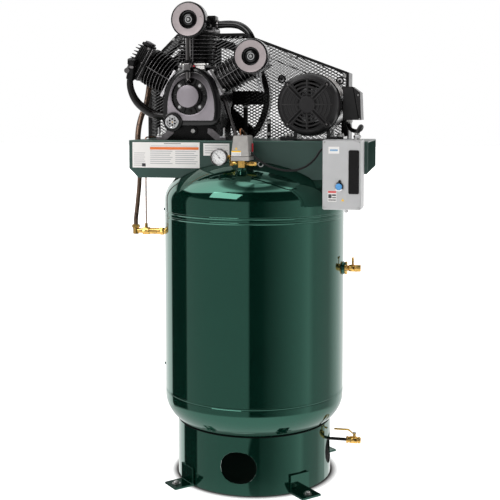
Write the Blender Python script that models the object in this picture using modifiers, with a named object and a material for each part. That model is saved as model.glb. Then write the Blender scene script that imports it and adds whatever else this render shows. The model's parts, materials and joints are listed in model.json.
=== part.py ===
"""A vertical-tank, air compressor: tank on a skirt, platform, W-pump, motor and guard.

Metres, +Z up. Everything hangs from one empty on the tank's axis, and the origin is the
bottom centre of the whole machine's box. Run with blender --background --python part.py.
"""

import math

import bmesh
import bpy
from mathutils import Matrix, Vector

# ---------------------------------------------------------------- driving dimensions
AXIS_X = 0.0406  # the tank's axis from the middle of the machine's width
GAP = 0.0004  # between pieces that touch

TANK_R = 0.381  # a 30 inch shell
TANK_WALL = 0.006
HEAD_RISE = 0.190  # 2:1 elliptical heads
TOP_TANGENT = 1.168
BOTTOM_TANGENT = 0.340

SKIRT_R = 0.3276
SKIRT_WALL = 0.005
SKIRT_HOLE_W = 0.150
SKIRT_HOLE_H = 0.130
SKIRT_HOLE_Z = 0.112

DECK_TOP = 1.420  # the platform's upper face
DECK_HALF = 0.496
DECK_FRONT = -0.182
DECK_REAR = 0.224
DECK_DEPTH = 0.1555
DECK_PLATE = 0.005
DECK_CHAMFER = 0.039

CRANK_X = -0.240  # crankshaft axis, along Y
CRANK_Z = 1.601
STROKE = 0.080
ROD_LENGTH = 0.193
CASE_R = 0.118
CASE_WALL = 0.024
CASE_FRONT = -0.135
CASE_REAR = 0.128
COVER_FRONT = -0.165
JOURNAL_R = 0.0225

FLANGE_IN = 0.1200  # stations along a cylinder's axis, from the crankshaft axis
FIN_START = 0.158
DECK_STATION = 0.272
CYLINDERS = {  # name: (lean from vertical in degrees, Y, bore radius, fin radius, head end station)
    "left": (-60.0, 0.050, 0.050, 0.082, 0.350),
    "centre": (0.0, -0.025, 0.052, 0.086, 0.337),
    "right": (60.0, -0.075, 0.040, 0.066, 0.352),
}

FLYWHEEL_R = 0.260
SPOKE_HALF = 0.031
WHEEL_FRONT = 0.246  # both wheels' rims, along Y
WHEEL_REAR = 0.304
PULLEY_R = 0.104

MOTOR_X = 0.247
MOTOR_Z = 1.567
MOTOR_R = 0.130
MOTOR_FRONT = -0.068
MOTOR_REAR = 0.150
SHAFT_R = 0.0175

GUARD_FRONT = 0.2265
GUARD_REAR = 0.3780
GUARD_SHEET = 0.002
GUARD_LEFT = -0.543
GUARD_RIGHT = 0.3763
GUARD_BASE = 1.300

BOX_LEFT = 0.334  # motor starter enclosure
BOX_RIGHT = 0.482
BOX_FRONT = -0.3245
BOX_BACK = -0.1825
BOX_LOW = 1.160
BOX_HIGH = 1.4285

SWITCH_X = 0.005  # pressure switch and its nipple on the dome
SWITCH_Y = -0.270
GAUGE = Vector((-0.086, -0.290, 1.3565))
GAUGE_R = 0.035

CHECK_Z = 1.019  # left tank port
SIDE_Z = 0.883  # right tank port
DRAIN_X = 0.190  # bottom port
DRAIN_Z = 0.148

# ---------------------------------------------------------------- scene and materials
for old in list(bpy.data.objects):
    bpy.data.objects.remove(old, do_unlink=True)

model = bpy.data.collections.new("vertical_tank_compressor")
cutters = bpy.data.collections.new("cutters")
bpy.context.scene.collection.children.link(model)
bpy.context.scene.collection.children.link(cutters)
cutters.hide_render = True

root = bpy.data.objects.new("tank_axis", None)
root.location = (AXIS_X, 0, 0)
model.objects.link(root)

MATERIALS = {  # name: (base colour, roughness, metallic)
    "green_paint": ((0.010, 0.045, 0.028), 0.18, 0.0),
    "deck_paint": ((0.035, 0.075, 0.060), 0.32, 0.0),
    "black_paint": ((0.012, 0.012, 0.013), 0.35, 0.0),
    "cover_casting": ((0.30, 0.29, 0.30), 0.45, 0.6),
    "cast_iron": ((0.020, 0.020, 0.021), 0.55, 0.2),
    "steel": ((0.55, 0.55, 0.56), 0.30, 1.0),
    "aluminium": ((0.75, 0.75, 0.76), 0.35, 1.0),
    "brass": ((0.72, 0.50, 0.20), 0.25, 1.0),
    "copper": ((0.60, 0.28, 0.16), 0.30, 1.0),
    "filter_grey": ((0.42, 0.39, 0.40), 0.45, 0.3),
    "rubber": ((0.010, 0.010, 0.011), 0.60, 0.0),
    "fan_plastic": ((0.020, 0.020, 0.021), 0.45, 0.0),
    "box_grey": ((0.58, 0.58, 0.57), 0.40, 0.0),
    "chrome": ((0.85, 0.85, 0.86), 0.08, 1.0),
    "red_plastic": ((0.60, 0.02, 0.04), 0.35, 0.0),
    "blue_plastic": ((0.02, 0.12, 0.55), 0.35, 0.0),
    "yellow_vinyl": ((0.80, 0.52, 0.03), 0.40, 0.0),
}


def material(name):
    """The Principled material of that name, made the first time it is asked for."""
    found = bpy.data.materials.get(name)
    if found:
        return found
    colour, rough, metal = MATERIALS[name]
    made = bpy.data.materials.new(name)
    made.use_nodes = True
    shader = made.node_tree.nodes["Principled BSDF"]
    shader.inputs["Base Color"].default_value = (*colour, 1.0)
    shader.inputs["Roughness"].default_value = rough
    shader.inputs["Metallic"].default_value = metal
    return made


# ---------------------------------------------------------------- modelling helpers
def place(name, data, finish, at=(0, 0, 0), turn=None, cutter=False):
    """An object of the model, or a hidden cutter, hung from the tank's axis."""
    obj = bpy.data.objects.new(name, data)
    (cutters if cutter else model).objects.link(obj)
    obj.parent = root
    obj.location = at
    if turn is not None:
        obj.rotation_euler = turn.to_euler()
    if finish:
        data.materials.append(material(finish))
    if cutter:
        obj.hide_render = True
        obj.display_type = "WIRE"
    return obj


def towards(axis):
    """The rotation that turns local +Z to this axis."""
    return Vector(axis).normalized().to_track_quat("Z", "Y").to_matrix()


def smooth(mesh, angle=38):
    mesh.shade_smooth()
    mesh.set_sharp_from_angle(angle=math.radians(angle))


def block(name, low, high, finish=None, bevel=0.0, cutter=False, turn=None):
    """A box between two corners, about its own centre, with softened edges if asked."""
    low, high = Vector(low), Vector(high)
    mesh = bpy.data.meshes.new(name)
    shape = bmesh.new()
    bmesh.ops.create_cube(shape, size=1.0, matrix=Matrix.Diagonal((*(high - low), 1.0)))
    shape.to_mesh(mesh)
    shape.free()
    obj = place(name, mesh, finish, (low + high) / 2, turn, cutter)
    if bevel:
        rounding = obj.modifiers.new("edges", "BEVEL")
        rounding.width = bevel
        rounding.segments = 1
        rounding.limit_method = "ANGLE"
    return obj


def rod(name, start, end, radius, finish=None, sides=24, end_radius=None, cutter=False):
    """A solid cylinder or cone from start to end."""
    start, end = Vector(start), Vector(end)
    mesh = bpy.data.meshes.new(name)
    shape = bmesh.new()
    bmesh.ops.create_cone(
        shape,
        cap_ends=True,
        segments=sides,
        radius1=radius,
        radius2=radius if end_radius is None else end_radius,
        depth=(end - start).length,
    )
    shape.to_mesh(mesh)
    shape.free()
    smooth(mesh)
    return place(name, mesh, finish, (start + end) / 2, towards(end - start), cutter)


def turned(name, profile, finish=None, at=(0, 0, 0), axis=(0, 0, 1), steps=32, ring=False, cutter=False):
    """A profile of (radius, height) swept round an axis; it runs down the outer side."""
    mesh = bpy.data.meshes.new(name)
    shape = bmesh.new()
    points = [shape.verts.new((radius, 0, height)) for radius, height in profile]
    for first, second in zip(points, points[1:] + points[:1] if ring else points[1:]):
        shape.edges.new((first, second))
    shape.to_mesh(mesh)
    shape.free()
    obj = place(name, mesh, finish, at, towards(axis), cutter)
    sweep = obj.modifiers.new("turn", "SCREW")
    sweep.steps = sweep.render_steps = steps
    sweep.use_merge_vertices = True
    sweep.merge_threshold = 0.00005
    return obj


def tube(name, points, radius, finish, resolution=2, swell=None):
    """A round tube through points, with flat ends; swell scales the radius at each point."""
    curve = bpy.data.curves.new(name, "CURVE")
    curve.dimensions = "3D"
    curve.bevel_depth = radius
    curve.bevel_resolution = resolution
    curve.use_fill_caps = True
    spline = curve.splines.new("POLY")
    spline.points.add(len(points) - 1)
    for index, point in enumerate(points):
        spline.points[index].co = (*point, 1.0)
        spline.points[index].radius = swell[index] if swell else 1.0
    return place(name, curve, finish)


def flowing(points, per_span=4):
    """Points along a smooth Catmull-Rom curve through the given points; its end spans are straight."""
    knots = [Vector(p) for p in points]
    out = [knots[0]]
    for a, b, c, d in zip(knots, knots[1:], knots[2:], knots[3:]):
        for step in range(per_span):
            t = step / per_span
            out.append(
                0.5 * (2 * b + (c - a) * t + (2 * a - 5 * b + 4 * c - d) * t**2
                       + (3 * b - a - 3 * c + d) * t**3)
            )
    return out + knots[-2:]


def plate(name, outlines, low_y, high_y, finish=None, cutter=False):
    """Outlines in X and Z filled and extruded along Y; inner outlines are holes. Made a mesh."""
    curve = bpy.data.curves.new(name, "CURVE")
    curve.dimensions = "2D"
    curve.fill_mode = "BOTH"
    curve.extrude = (high_y - low_y) / 2
    for outline in outlines:
        spline = curve.splines.new("POLY")
        spline.points.add(len(outline) - 1)
        for index, (x, z) in enumerate(outline):
            spline.points[index].co = (x, z, 0, 1)
        spline.use_cyclic_u = True
    draft = bpy.data.objects.new(name + "_draft", curve)
    bpy.context.scene.collection.objects.link(draft)
    bpy.context.view_layer.update()
    graph = bpy.context.evaluated_depsgraph_get()
    mesh = bpy.data.meshes.new_from_object(draft.evaluated_get(graph))
    bpy.data.objects.remove(draft)
    shape = bmesh.new()
    shape.from_mesh(mesh)
    bmesh.ops.remove_doubles(shape, verts=shape.verts, dist=0.00001)
    bmesh.ops.recalc_face_normals(shape, faces=shape.faces)
    shape.to_mesh(mesh)
    shape.free()
    mesh.name = name
    upright = Matrix.Rotation(math.radians(90), 3, "X")
    return place(name, mesh, finish, (0, (low_y + high_y) / 2, 0), upright, cutter)


def boolean(target, other, operation):
    step = target.modifiers.new(other.name, "BOOLEAN")
    step.object = other
    step.operation = operation


def cut(target, *others):
    for other in others:
        boolean(target, other, "DIFFERENCE")


def join(target, *others):
    for other in others:
        boolean(target, other, "UNION")


def arc(centre, radius, first, last, steps):
    """Points of an arc, angles in degrees from +X towards +Z, both ends included."""
    angles = [math.radians(first + (last - first) * i / steps) for i in range(steps + 1)]
    return [(centre[0] + radius * math.cos(a), centre[1] + radius * math.sin(a)) for a in angles]


def circle(centre, radius, sides=24):
    return arc(centre, radius, 0, 360 * (sides - 1) / sides, sides - 1)


def head_arc(radius, rise, level, up, steps):
    """An elliptical head's (radius, height) points from its crown to its tangent line."""
    angles = [math.pi / 2 * (1 - i / steps) for i in range(steps + 1)]
    return [(radius * math.cos(a), level + up * rise * math.sin(a)) for a in angles]


# ---------------------------------------------------------------- tank, skirt and feet
def make_tank():
    inner_r = TANK_R - TANK_WALL
    inner_rise = HEAD_RISE - TANK_WALL
    profile = head_arc(TANK_R, HEAD_RISE, TOP_TANGENT, 1, 8)
    profile += head_arc(TANK_R, HEAD_RISE, BOTTOM_TANGENT, -1, 8)[::-1]
    profile += head_arc(inner_r, inner_rise, BOTTOM_TANGENT, -1, 5)
    profile += head_arc(inner_r, inner_rise, TOP_TANGENT, 1, 5)[::-1]
    for end in (0, 17, 18, -1):
        profile[end] = (0.0, profile[end][1])
    outer, inner = profile[:18], profile[18:]
    tank = turned("tank_shell", outer, "green_paint", steps=48)
    hollow = turned("tank_hollow", inner[::-1], steps=48, cutter=True)
    cut(tank, hollow)
    ports = (
        ("check", (-TANK_R + 0.009, 0, CHECK_Z), (-TANK_R - 0.010, 0, CHECK_Z), 0.020, 0.0100),
        ("side", (TANK_R - 0.009, 0, SIDE_Z), (TANK_R + 0.008, 0, SIDE_Z), 0.025, 0.0110),
        ("dome", (SWITCH_X, SWITCH_Y, 1.270), (SWITCH_X, SWITCH_Y, 1.3160), 0.016, 0.0080),
    )
    for name, start, end, boss_r, bore_r in ports:
        direction = (Vector(end) - Vector(start)).normalized()
        boss = rod(name + "_boss", start, end, boss_r, cutter=True)
        bore = rod(name + "_bore", Vector(start) - 0.03 * direction,
                   Vector(end) + 0.02 * direction, bore_r, sides=16, cutter=True)
        join(tank, boss)
        cut(tank, bore)
    cut(tank, rod("drain_bore", (DRAIN_X, 0, 0.10), (DRAIN_X, 0, 0.23), 0.0085, sides=16, cutter=True))


def stadium(centre_z, width, height, steps=8):
    """An outline with round sides, centred on x = 0."""
    shift = (width - height) / 2
    right = arc((shift, centre_z), height / 2, -90, 90, steps)
    left = arc((-shift, centre_z), height / 2, 90, 270, steps)
    return right + left


def make_skirt():
    def under_head(radius):
        return BOTTOM_TANGENT - HEAD_RISE * math.sqrt(1 - (radius / TANK_R) ** 2) - 0.0025

    inside = SKIRT_R - SKIRT_WALL
    profile = [(SKIRT_R, under_head(SKIRT_R)), (SKIRT_R, 0), (inside, 0), (inside, under_head(inside))]
    skirt = turned("base_skirt", profile, "green_paint", steps=48, ring=True)
    outline = stadium(SKIRT_HOLE_Z, SKIRT_HOLE_W, SKIRT_HOLE_H)
    front = plate("front_hole", [outline], -0.40, -0.20, cutter=True)
    side = plate("side_hole", [outline], -0.40, -0.20, cutter=True)
    quarter = Matrix.Rotation(math.radians(90), 3, "Z")
    side.rotation_euler = (quarter @ Matrix.Rotation(math.radians(90), 3, "X")).to_euler()
    side.location = quarter @ side.location
    cut(skirt, front, side)


def make_feet():
    thick, width, height, reach = 0.008, 0.090, 0.075, 0.416
    near = SKIRT_R + GAP
    outline = [(near, 0), (reach, 0), (reach, thick), (near + thick, thick),
               (near + thick, height), (near, height)]
    corners = (("front_right", -45), ("rear_right", 45), ("rear_left", 135), ("front_left", -135))
    for name, angle in corners:
        spin = Matrix.Rotation(math.radians(angle), 3, "Z")
        foot = plate("foot_" + name, [outline], -width / 2, width / 2, "green_paint")
        foot.rotation_euler = (spin @ Matrix.Rotation(math.radians(90), 3, "X")).to_euler()
        centre = spin @ Vector((0.386, 0, 0))
        hole = rod("hole_" + name, centre - Vector((0, 0, 0.01)), centre + Vector((0, 0, 0.02)),
                   0.008, sides=12, cutter=True)
        cut(foot, hole)


def saddle(clear):
    """A cutter in the shape of the top head, so that sheet metal clears it."""
    profile = head_arc(TANK_R + clear, HEAD_RISE + clear, TOP_TANGENT, 1, 8)
    profile[0] = (0.0, profile[0][1])
    profile += [(TANK_R + clear, 1.10), (0.0, 1.10)]
    return turned("saddle", profile, steps=48, cutter=True)


def make_platform():
    low = DECK_TOP - DECK_DEPTH
    shoulder = low + DECK_CHAMFER
    waist = DECK_HALF - DECK_CHAMFER
    outline = [(-DECK_HALF, DECK_TOP), (-DECK_HALF, shoulder), (-waist, low),
               (waist, low), (DECK_HALF, shoulder), (DECK_HALF, DECK_TOP)]
    deck = plate("platform", [outline], DECK_FRONT, DECK_REAR, "deck_paint")
    inside = block("channel", (-0.6, DECK_FRONT + DECK_PLATE, 1.1),
                   (0.6, DECK_REAR - DECK_PLATE, DECK_TOP - DECK_PLATE), cutter=True)
    tube_hole = rod("tube_hole", (-0.4824, 0, 1.40), (-0.4824, 0, 1.44), 0.006, sides=12, cutter=True)
    cut(deck, inside, saddle(0.0015), tube_hole)


# ---------------------------------------------------------------- pump
def along(cylinder, station, across=0.0, back=0.0):
    """A point on a cylinder's axis, measured from the crankshaft; across is its lower side."""
    lean, y = CYLINDERS[cylinder][:2]
    a = math.radians(lean)
    side = -1 if lean < 0 else 1
    out = Vector((math.sin(a), 0, math.cos(a)))
    down = Vector((math.cos(a) * side, 0, -math.sin(a) * side))
    return Vector((CRANK_X, y + back, CRANK_Z)) + out * station + down * across


def lean_matrix(cylinder):
    return Matrix.Rotation(math.radians(CYLINDERS[cylinder][0]), 3, "Y")


def make_crankcase():
    case = rod("crankcase", (CRANK_X, CASE_FRONT, CRANK_Z), (CRANK_X, CASE_REAR, CRANK_Z),
               CASE_R, "cast_iron", sides=40)
    sump = block("sump", (CRANK_X - 0.108, CASE_FRONT + 0.001, DECK_TOP + 0.004),
                 (CRANK_X + 0.108, CASE_REAR - 0.001, CRANK_Z - 0.02), cutter=True)
    feet = block("pump_feet", (CRANK_X - 0.150, CASE_FRONT + 0.004, DECK_TOP + GAP),
                 (CRANK_X + 0.150, CASE_REAR - 0.004, DECK_TOP + 0.015), cutter=True)
    join(case, sump, feet)
    for name, (_, _, bore, _, _) in CYLINDERS.items():
        pad = rod(name + "_pad", along(name, 0.08), along(name, FLANGE_IN - GAP), bore + 0.016,
                  sides=32, cutter=True)
        join(case, pad)
    hollow_r = CASE_R - CASE_WALL
    hollow = rod("case_hollow", (CRANK_X, CASE_FRONT - 0.02, CRANK_Z), (CRANK_X, 0.106, CRANK_Z),
                 hollow_r, sides=32, cutter=True)
    oil = block("oil_space", (CRANK_X - 0.090, CASE_FRONT + 0.014, DECK_TOP + 0.030),
                (CRANK_X + 0.090, 0.106, CRANK_Z - 0.03), cutter=True)
    bearing = rod("rear_bore", (CRANK_X, 0.09, CRANK_Z), (CRANK_X, CASE_REAR + 0.02, CRANK_Z),
                  JOURNAL_R + 0.001, sides=24, cutter=True)
    cut(case, hollow, oil, bearing)
    for name, (_, _, bore, _, _) in CYLINDERS.items():
        cut(case, rod(name + "_hole", along(name, 0.03), along(name, 0.14), bore + 0.0055,
                      sides=32, cutter=True))


def make_cover():
    half = [(0.088, -0.122), (0.106, -0.117), (0.117, -0.103), (0.1235, -0.060), (0.1215, -0.020),
            (0.1135, 0.020), (0.0985, 0.060), (0.077, 0.090), (0.051, 0.110), (0.023, 0.1205)]
    middle = CRANK_X + 0.006
    outline = [(middle + x, CRANK_Z + z) for x, z in half]
    outline += [(middle - x, CRANK_Z + z) for x, z in half[::-1]]
    cover = plate("front_cover", [outline, circle((CRANK_X, CRANK_Z), 0.030)],
                  COVER_FRONT, CASE_FRONT - GAP, "cover_casting")
    recess = rod("recess", (CRANK_X, COVER_FRONT - 0.01, CRANK_Z), (CRANK_X, COVER_FRONT + 0.013, CRANK_Z),
                 0.076, sides=40, cutter=True)
    cut(cover, recess)
    floor = COVER_FRONT + 0.013
    front = (CRANK_X, 0, CRANK_Z)
    turned("bearing_cap",
           [(0, 0.195), (0.044, 0.195), (0.047, 0.192), (0.047, 0.164), (0.050, 0.164),
            (0.050, -floor + GAP), (0.032, -floor + GAP), (0.032, 0.180), (0, 0.180)],
           "cover_casting", front, (0, -1, 0), steps=32)
    turned("sight_glass",
           [(0, 0.174), (0.019, 0.174), (0.020, 0.180), (0.024, 0.182), (0.030, 0.178),
            (0.030, -COVER_FRONT + GAP), (0, -COVER_FRONT + GAP)],
           "chrome", (-0.3095, 0, 1.4955), (0, -1, 0), steps=24)


def make_cylinder(name):
    _, _, bore, fins, _ = CYLINDERS[name]
    at = along(name, 0)
    out = along(name, 1) - at
    top = DECK_STATION - GAP
    profile = [(fins - 0.004, top), (fins, top - 0.005), (fins, FIN_START), (bore + 0.012, FIN_START - 0.008),
               (bore + 0.012, FLANGE_IN + 0.013), (bore + 0.015, FLANGE_IN + 0.013),
               (bore + 0.015, FLANGE_IN), (bore + 0.005, FLANGE_IN), (bore + 0.005, FLANGE_IN - 0.014),
               (bore, FLANGE_IN - 0.014), (bore, top)]
    turned("cylinder_" + name, profile, "cast_iron", at, out, steps=24, ring=True)


def make_head(name):
    _, _, bore, fins, end = CYLINDERS[name]
    half = fins - 0.006
    middle = (DECK_STATION + end) / 2
    rise = (end - DECK_STATION) / 2
    mesh_low, mesh_high = Vector((-half, -half, -rise)), Vector((half, half, rise))
    head = block("head_" + name, mesh_low, mesh_high, "cast_iron", bevel=0.008, turn=lean_matrix(name))
    head.location = along(name, middle)
    chamber = rod(name + "_chamber", along(name, DECK_STATION - 0.01), along(name, DECK_STATION + 0.03),
                  bore - 0.004, sides=24, cutter=True)
    cut(head, chamber)


def make_filter(name, centre, back, radius):
    """A round intake filter facing the front, packed with its element, with a bored spigot to its head."""
    x, face, z = centre
    front = -face
    body = front - 0.052
    tail = -back
    profile = [(0, front - 0.014), (radius * 0.5, front - 0.014), (radius * 0.53, front - 0.001),
               (radius * 0.93, front), (radius, front - 0.008), (radius, body), (0.020, body - 0.004),
               (0.016, body - 0.006), (0.016, tail), (0.011, tail), (0.011, body + 0.010),
               (0, body + 0.010)]
    turned(name, profile, "filter_grey", (x, 0, z), (0, -1, 0), steps=24)


def make_pump_pipes():
    tube("breather_pipe",
         [(CRANK_X, COVER_FRONT + 0.013 - GAP, 1.6635), (CRANK_X, -0.168, 1.6635), (CRANK_X, -0.178, 1.667),
          (CRANK_X, -0.182, 1.675), (CRANK_X, -0.182, 1.700), (CRANK_X, -0.182, 1.8375)],
         0.0110, "steel")
    crown = [along("centre", 0.301, 0.0805, -0.020), along("centre", 0.301, 0.0970, -0.020),
             (-0.112, -0.048, 1.9035), (-0.082, -0.052, 1.9020), (-0.052, -0.058, 1.8955),
             (-0.024, -0.066, 1.8790), (-0.004, -0.073, 1.8560), along("right", 0.330, -0.0760),
             along("right", 0.330, -0.0605)]
    tube("intercooler_tube", flowing(crown, 3), 0.0155, "black_paint")
    hose = [along("left", 0.300, 0.0765, -0.070), along("left", 0.300, 0.0900, -0.070), (-0.5425, -0.020, 1.640),
            (-0.5310, -0.018, 1.606), (-0.511, -0.014, 1.575), (-0.480, -0.008, 1.548),
            (-0.445, -0.002, 1.528), (-0.405, 0.0, 1.5205), (-0.366, 0.0, 1.520), (-0.3485, 0.0, 1.520)]
    tube("head_hose", flowing(hose, 3), 0.0135, "rubber")
    start = along("left", 0.315, -0.010, 0.0765)
    copper = [start, start + Vector((0, 0.020, 0)), (-0.5085, 0.1475, 1.706), (-0.5104, 0.142, 1.653),
              (-0.5130, 0.128, 1.605), (-0.5185, 0.110, 1.559), (-0.5300, 0.094, 1.5225), (-0.5370, 0.078, 1.480),
              (-0.5385, 0.062, 1.427), (-0.5330, 0.045, 1.340), (-0.5215, 0.030, 1.247),
              (-0.5246, 0.015, 1.1515), (-0.5290, 0.002, 1.0835), (-0.5298, 0.0, 1.0600),
              (-0.5298, 0.0, 1.0465)]
    path = flowing(copper, 3)
    wide = [1.0 if p.z < 1.35 else 1.3 for p in path]
    tube("discharge_pipe", path, 0.0100, "copper", swell=wide)
    drain = [(CRANK_X + CASE_R + GAP, -0.080, 1.590), (-0.1130, -0.080, 1.5895), (-0.1060, -0.080, 1.574),
             (-0.0990, -0.080, 1.548), (-0.0870, -0.079, 1.510), (-0.0740, -0.078, 1.474),
             (-0.0660, -0.078, 1.446), (-0.0655, -0.078, 1.4204)]
    tube("crankcase_tube", flowing(drain, 3), 0.0085, "steel")


def make_crankshaft():
    """Front journal, two webs, one crankpin at the top of its stroke, and the rear journal."""
    throw = STROKE / 2
    shaft = rod("crankshaft", (CRANK_X, 0.072, CRANK_Z), (CRANK_X, WHEEL_REAR, CRANK_Z),
                JOURNAL_R, "steel", sides=24)
    web_outline = arc((CRANK_X, CRANK_Z), 0.086, 200, 340, 10)
    web_outline += arc((CRANK_X, CRANK_Z + throw), 0.028, 0, 180, 8)
    front_web = plate("front_web", [web_outline], -0.112, -0.094, cutter=True)
    rear_web = plate("rear_web", [web_outline], 0.078, 0.098, cutter=True)
    pin = rod("crankpin", (CRANK_X, -0.103, CRANK_Z + throw), (CRANK_X, 0.088, CRANK_Z + throw),
              0.019, sides=20, cutter=True)
    nose = rod("front_journal", (CRANK_X, -0.172, CRANK_Z), (CRANK_X, -0.105, CRANK_Z),
               JOURNAL_R, sides=24, cutter=True)
    join(shaft, rear_web, pin, front_web, nose)


def wrist_station(cylinder):
    """How far up its bore a piston's pin stands while the crankpin is at the top."""
    lean = math.radians(CYLINDERS[cylinder][0])
    throw = STROKE / 2
    return throw * math.cos(lean) + math.sqrt(ROD_LENGTH**2 - (throw * math.sin(lean)) ** 2)


def make_piston(name):
    """A skirted piston with the upper half of its connecting rod."""
    bore = CYLINDERS[name][2]
    at = along(name, wrist_station(name))
    out = (along(name, 1) - along(name, 0)).normalized()
    radius = bore - 0.0006
    profile = [(0, 0.036), (radius - 0.001, 0.036), (radius, 0.035), (radius, -0.022),
               (radius - 0.006, -0.022), (radius - 0.006, 0.024), (0, 0.024)]
    piston = turned("piston_" + name, profile, "aluminium", at, out, steps=32)
    stub = rod(name + "_rod", at + out * 0.030, at - out * 0.056, 0.011, sides=12,
               end_radius=0.013, cutter=True)
    wrist = rod(name + "_wrist", at - Vector((0, radius - 0.003, 0)), at + Vector((0, radius - 0.003, 0)),
                0.010, sides=12, cutter=True)
    join(piston, stub, wrist)


# ---------------------------------------------------------------- drive
def make_wheels():
    depth = WHEEL_REAR - WHEEL_FRONT
    middle = (WHEEL_FRONT + WHEEL_REAR) / 2
    half = depth / 2

    def wheel(name, x, z, rim, inner, hub, bore, web, steps):
        profile = [(rim, half), (rim, -half), (inner, -half), (inner, -web), (hub, -web), (hub, -half),
                   (bore, -half), (bore, half), (hub, half), (hub, web), (inner, web), (inner, half)]
        return turned(name, profile, "black_paint", (x, middle, z), (0, -1, 0), steps, ring=True)

    rim_in = FLYWHEEL_R - 0.028
    flywheel = wheel("flywheel", CRANK_X, CRANK_Z, FLYWHEEL_R, rim_in, 0.052, JOURNAL_R + GAP, 0.008, 44)
    tip_r, wide_r = 0.098, rim_in - 0.004
    tip, wide = (math.degrees(math.asin(SPOKE_HALF / radius)) for radius in (tip_r, wide_r))
    for index in range(8):
        first = 45 * index
        window = arc((CRANK_X, CRANK_Z), wide_r, first + wide, first + 45 - wide, 5)
        window += arc((CRANK_X, CRANK_Z), tip_r, first + 45 - tip, first + tip, 1)
        cut(flywheel, plate("wheel_window", [window], WHEEL_FRONT - 0.01, WHEEL_REAR + 0.01, cutter=True))
    wheel("motor_pulley", MOTOR_X, MOTOR_Z, PULLEY_R, PULLEY_R - 0.022, 0.036, SHAFT_R + GAP, 0.007, 30)


def belt_path(spread):
    """The loop round both wheels, spread outward from their rims."""
    apart = Vector((MOTOR_X - CRANK_X, MOTOR_Z - CRANK_Z))
    big, small = FLYWHEEL_R + spread, PULLEY_R + spread
    slope = math.degrees(math.atan2(apart.y, apart.x))
    wrap = math.degrees(math.acos((big - small) / apart.length))
    small_arc = arc((MOTOR_X, MOTOR_Z), small, slope - wrap, slope + wrap, 14)
    big_arc = arc((CRANK_X, CRANK_Z), big, slope + wrap, slope + 360 - wrap, 30)
    return small_arc + big_arc


def make_belt():
    plate("drive_belt", [belt_path(0.0045), belt_path(0.0012)],
          WHEEL_FRONT + 0.007, WHEEL_REAR - 0.007, "rubber")


def guard_outline(inset=0.0):
    left, right = GUARD_LEFT + inset, GUARD_RIGHT - inset
    top = 1.889 - inset
    return [(right, GUARD_BASE), (right, 1.710 - 0.6 * inset), (-0.098 - 0.2 * inset, top),
            (-0.404 + 0.4 * inset, top), (left, 1.755 - 0.4 * inset), (left, GUARD_BASE)]


def make_guard():
    shaft_holes = [circle((CRANK_X, CRANK_Z), 0.060), circle((MOTOR_X, MOTOR_Z), 0.040, 20)]
    front = plate("guard_front", [guard_outline(), *shaft_holes], GUARD_FRONT, GUARD_FRONT + GUARD_SHEET,
                  "black_paint")
    cut(front, saddle(0.004))
    plate("guard_rear", [guard_outline()], GUARD_REAR - GUARD_SHEET, GUARD_REAR, "black_paint")
    band = guard_outline() + guard_outline(GUARD_SHEET)[::-1]
    plate("guard_rim", [band], GUARD_FRONT + GUARD_SHEET + GAP, GUARD_REAR - GUARD_SHEET - GAP, "black_paint")


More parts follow.
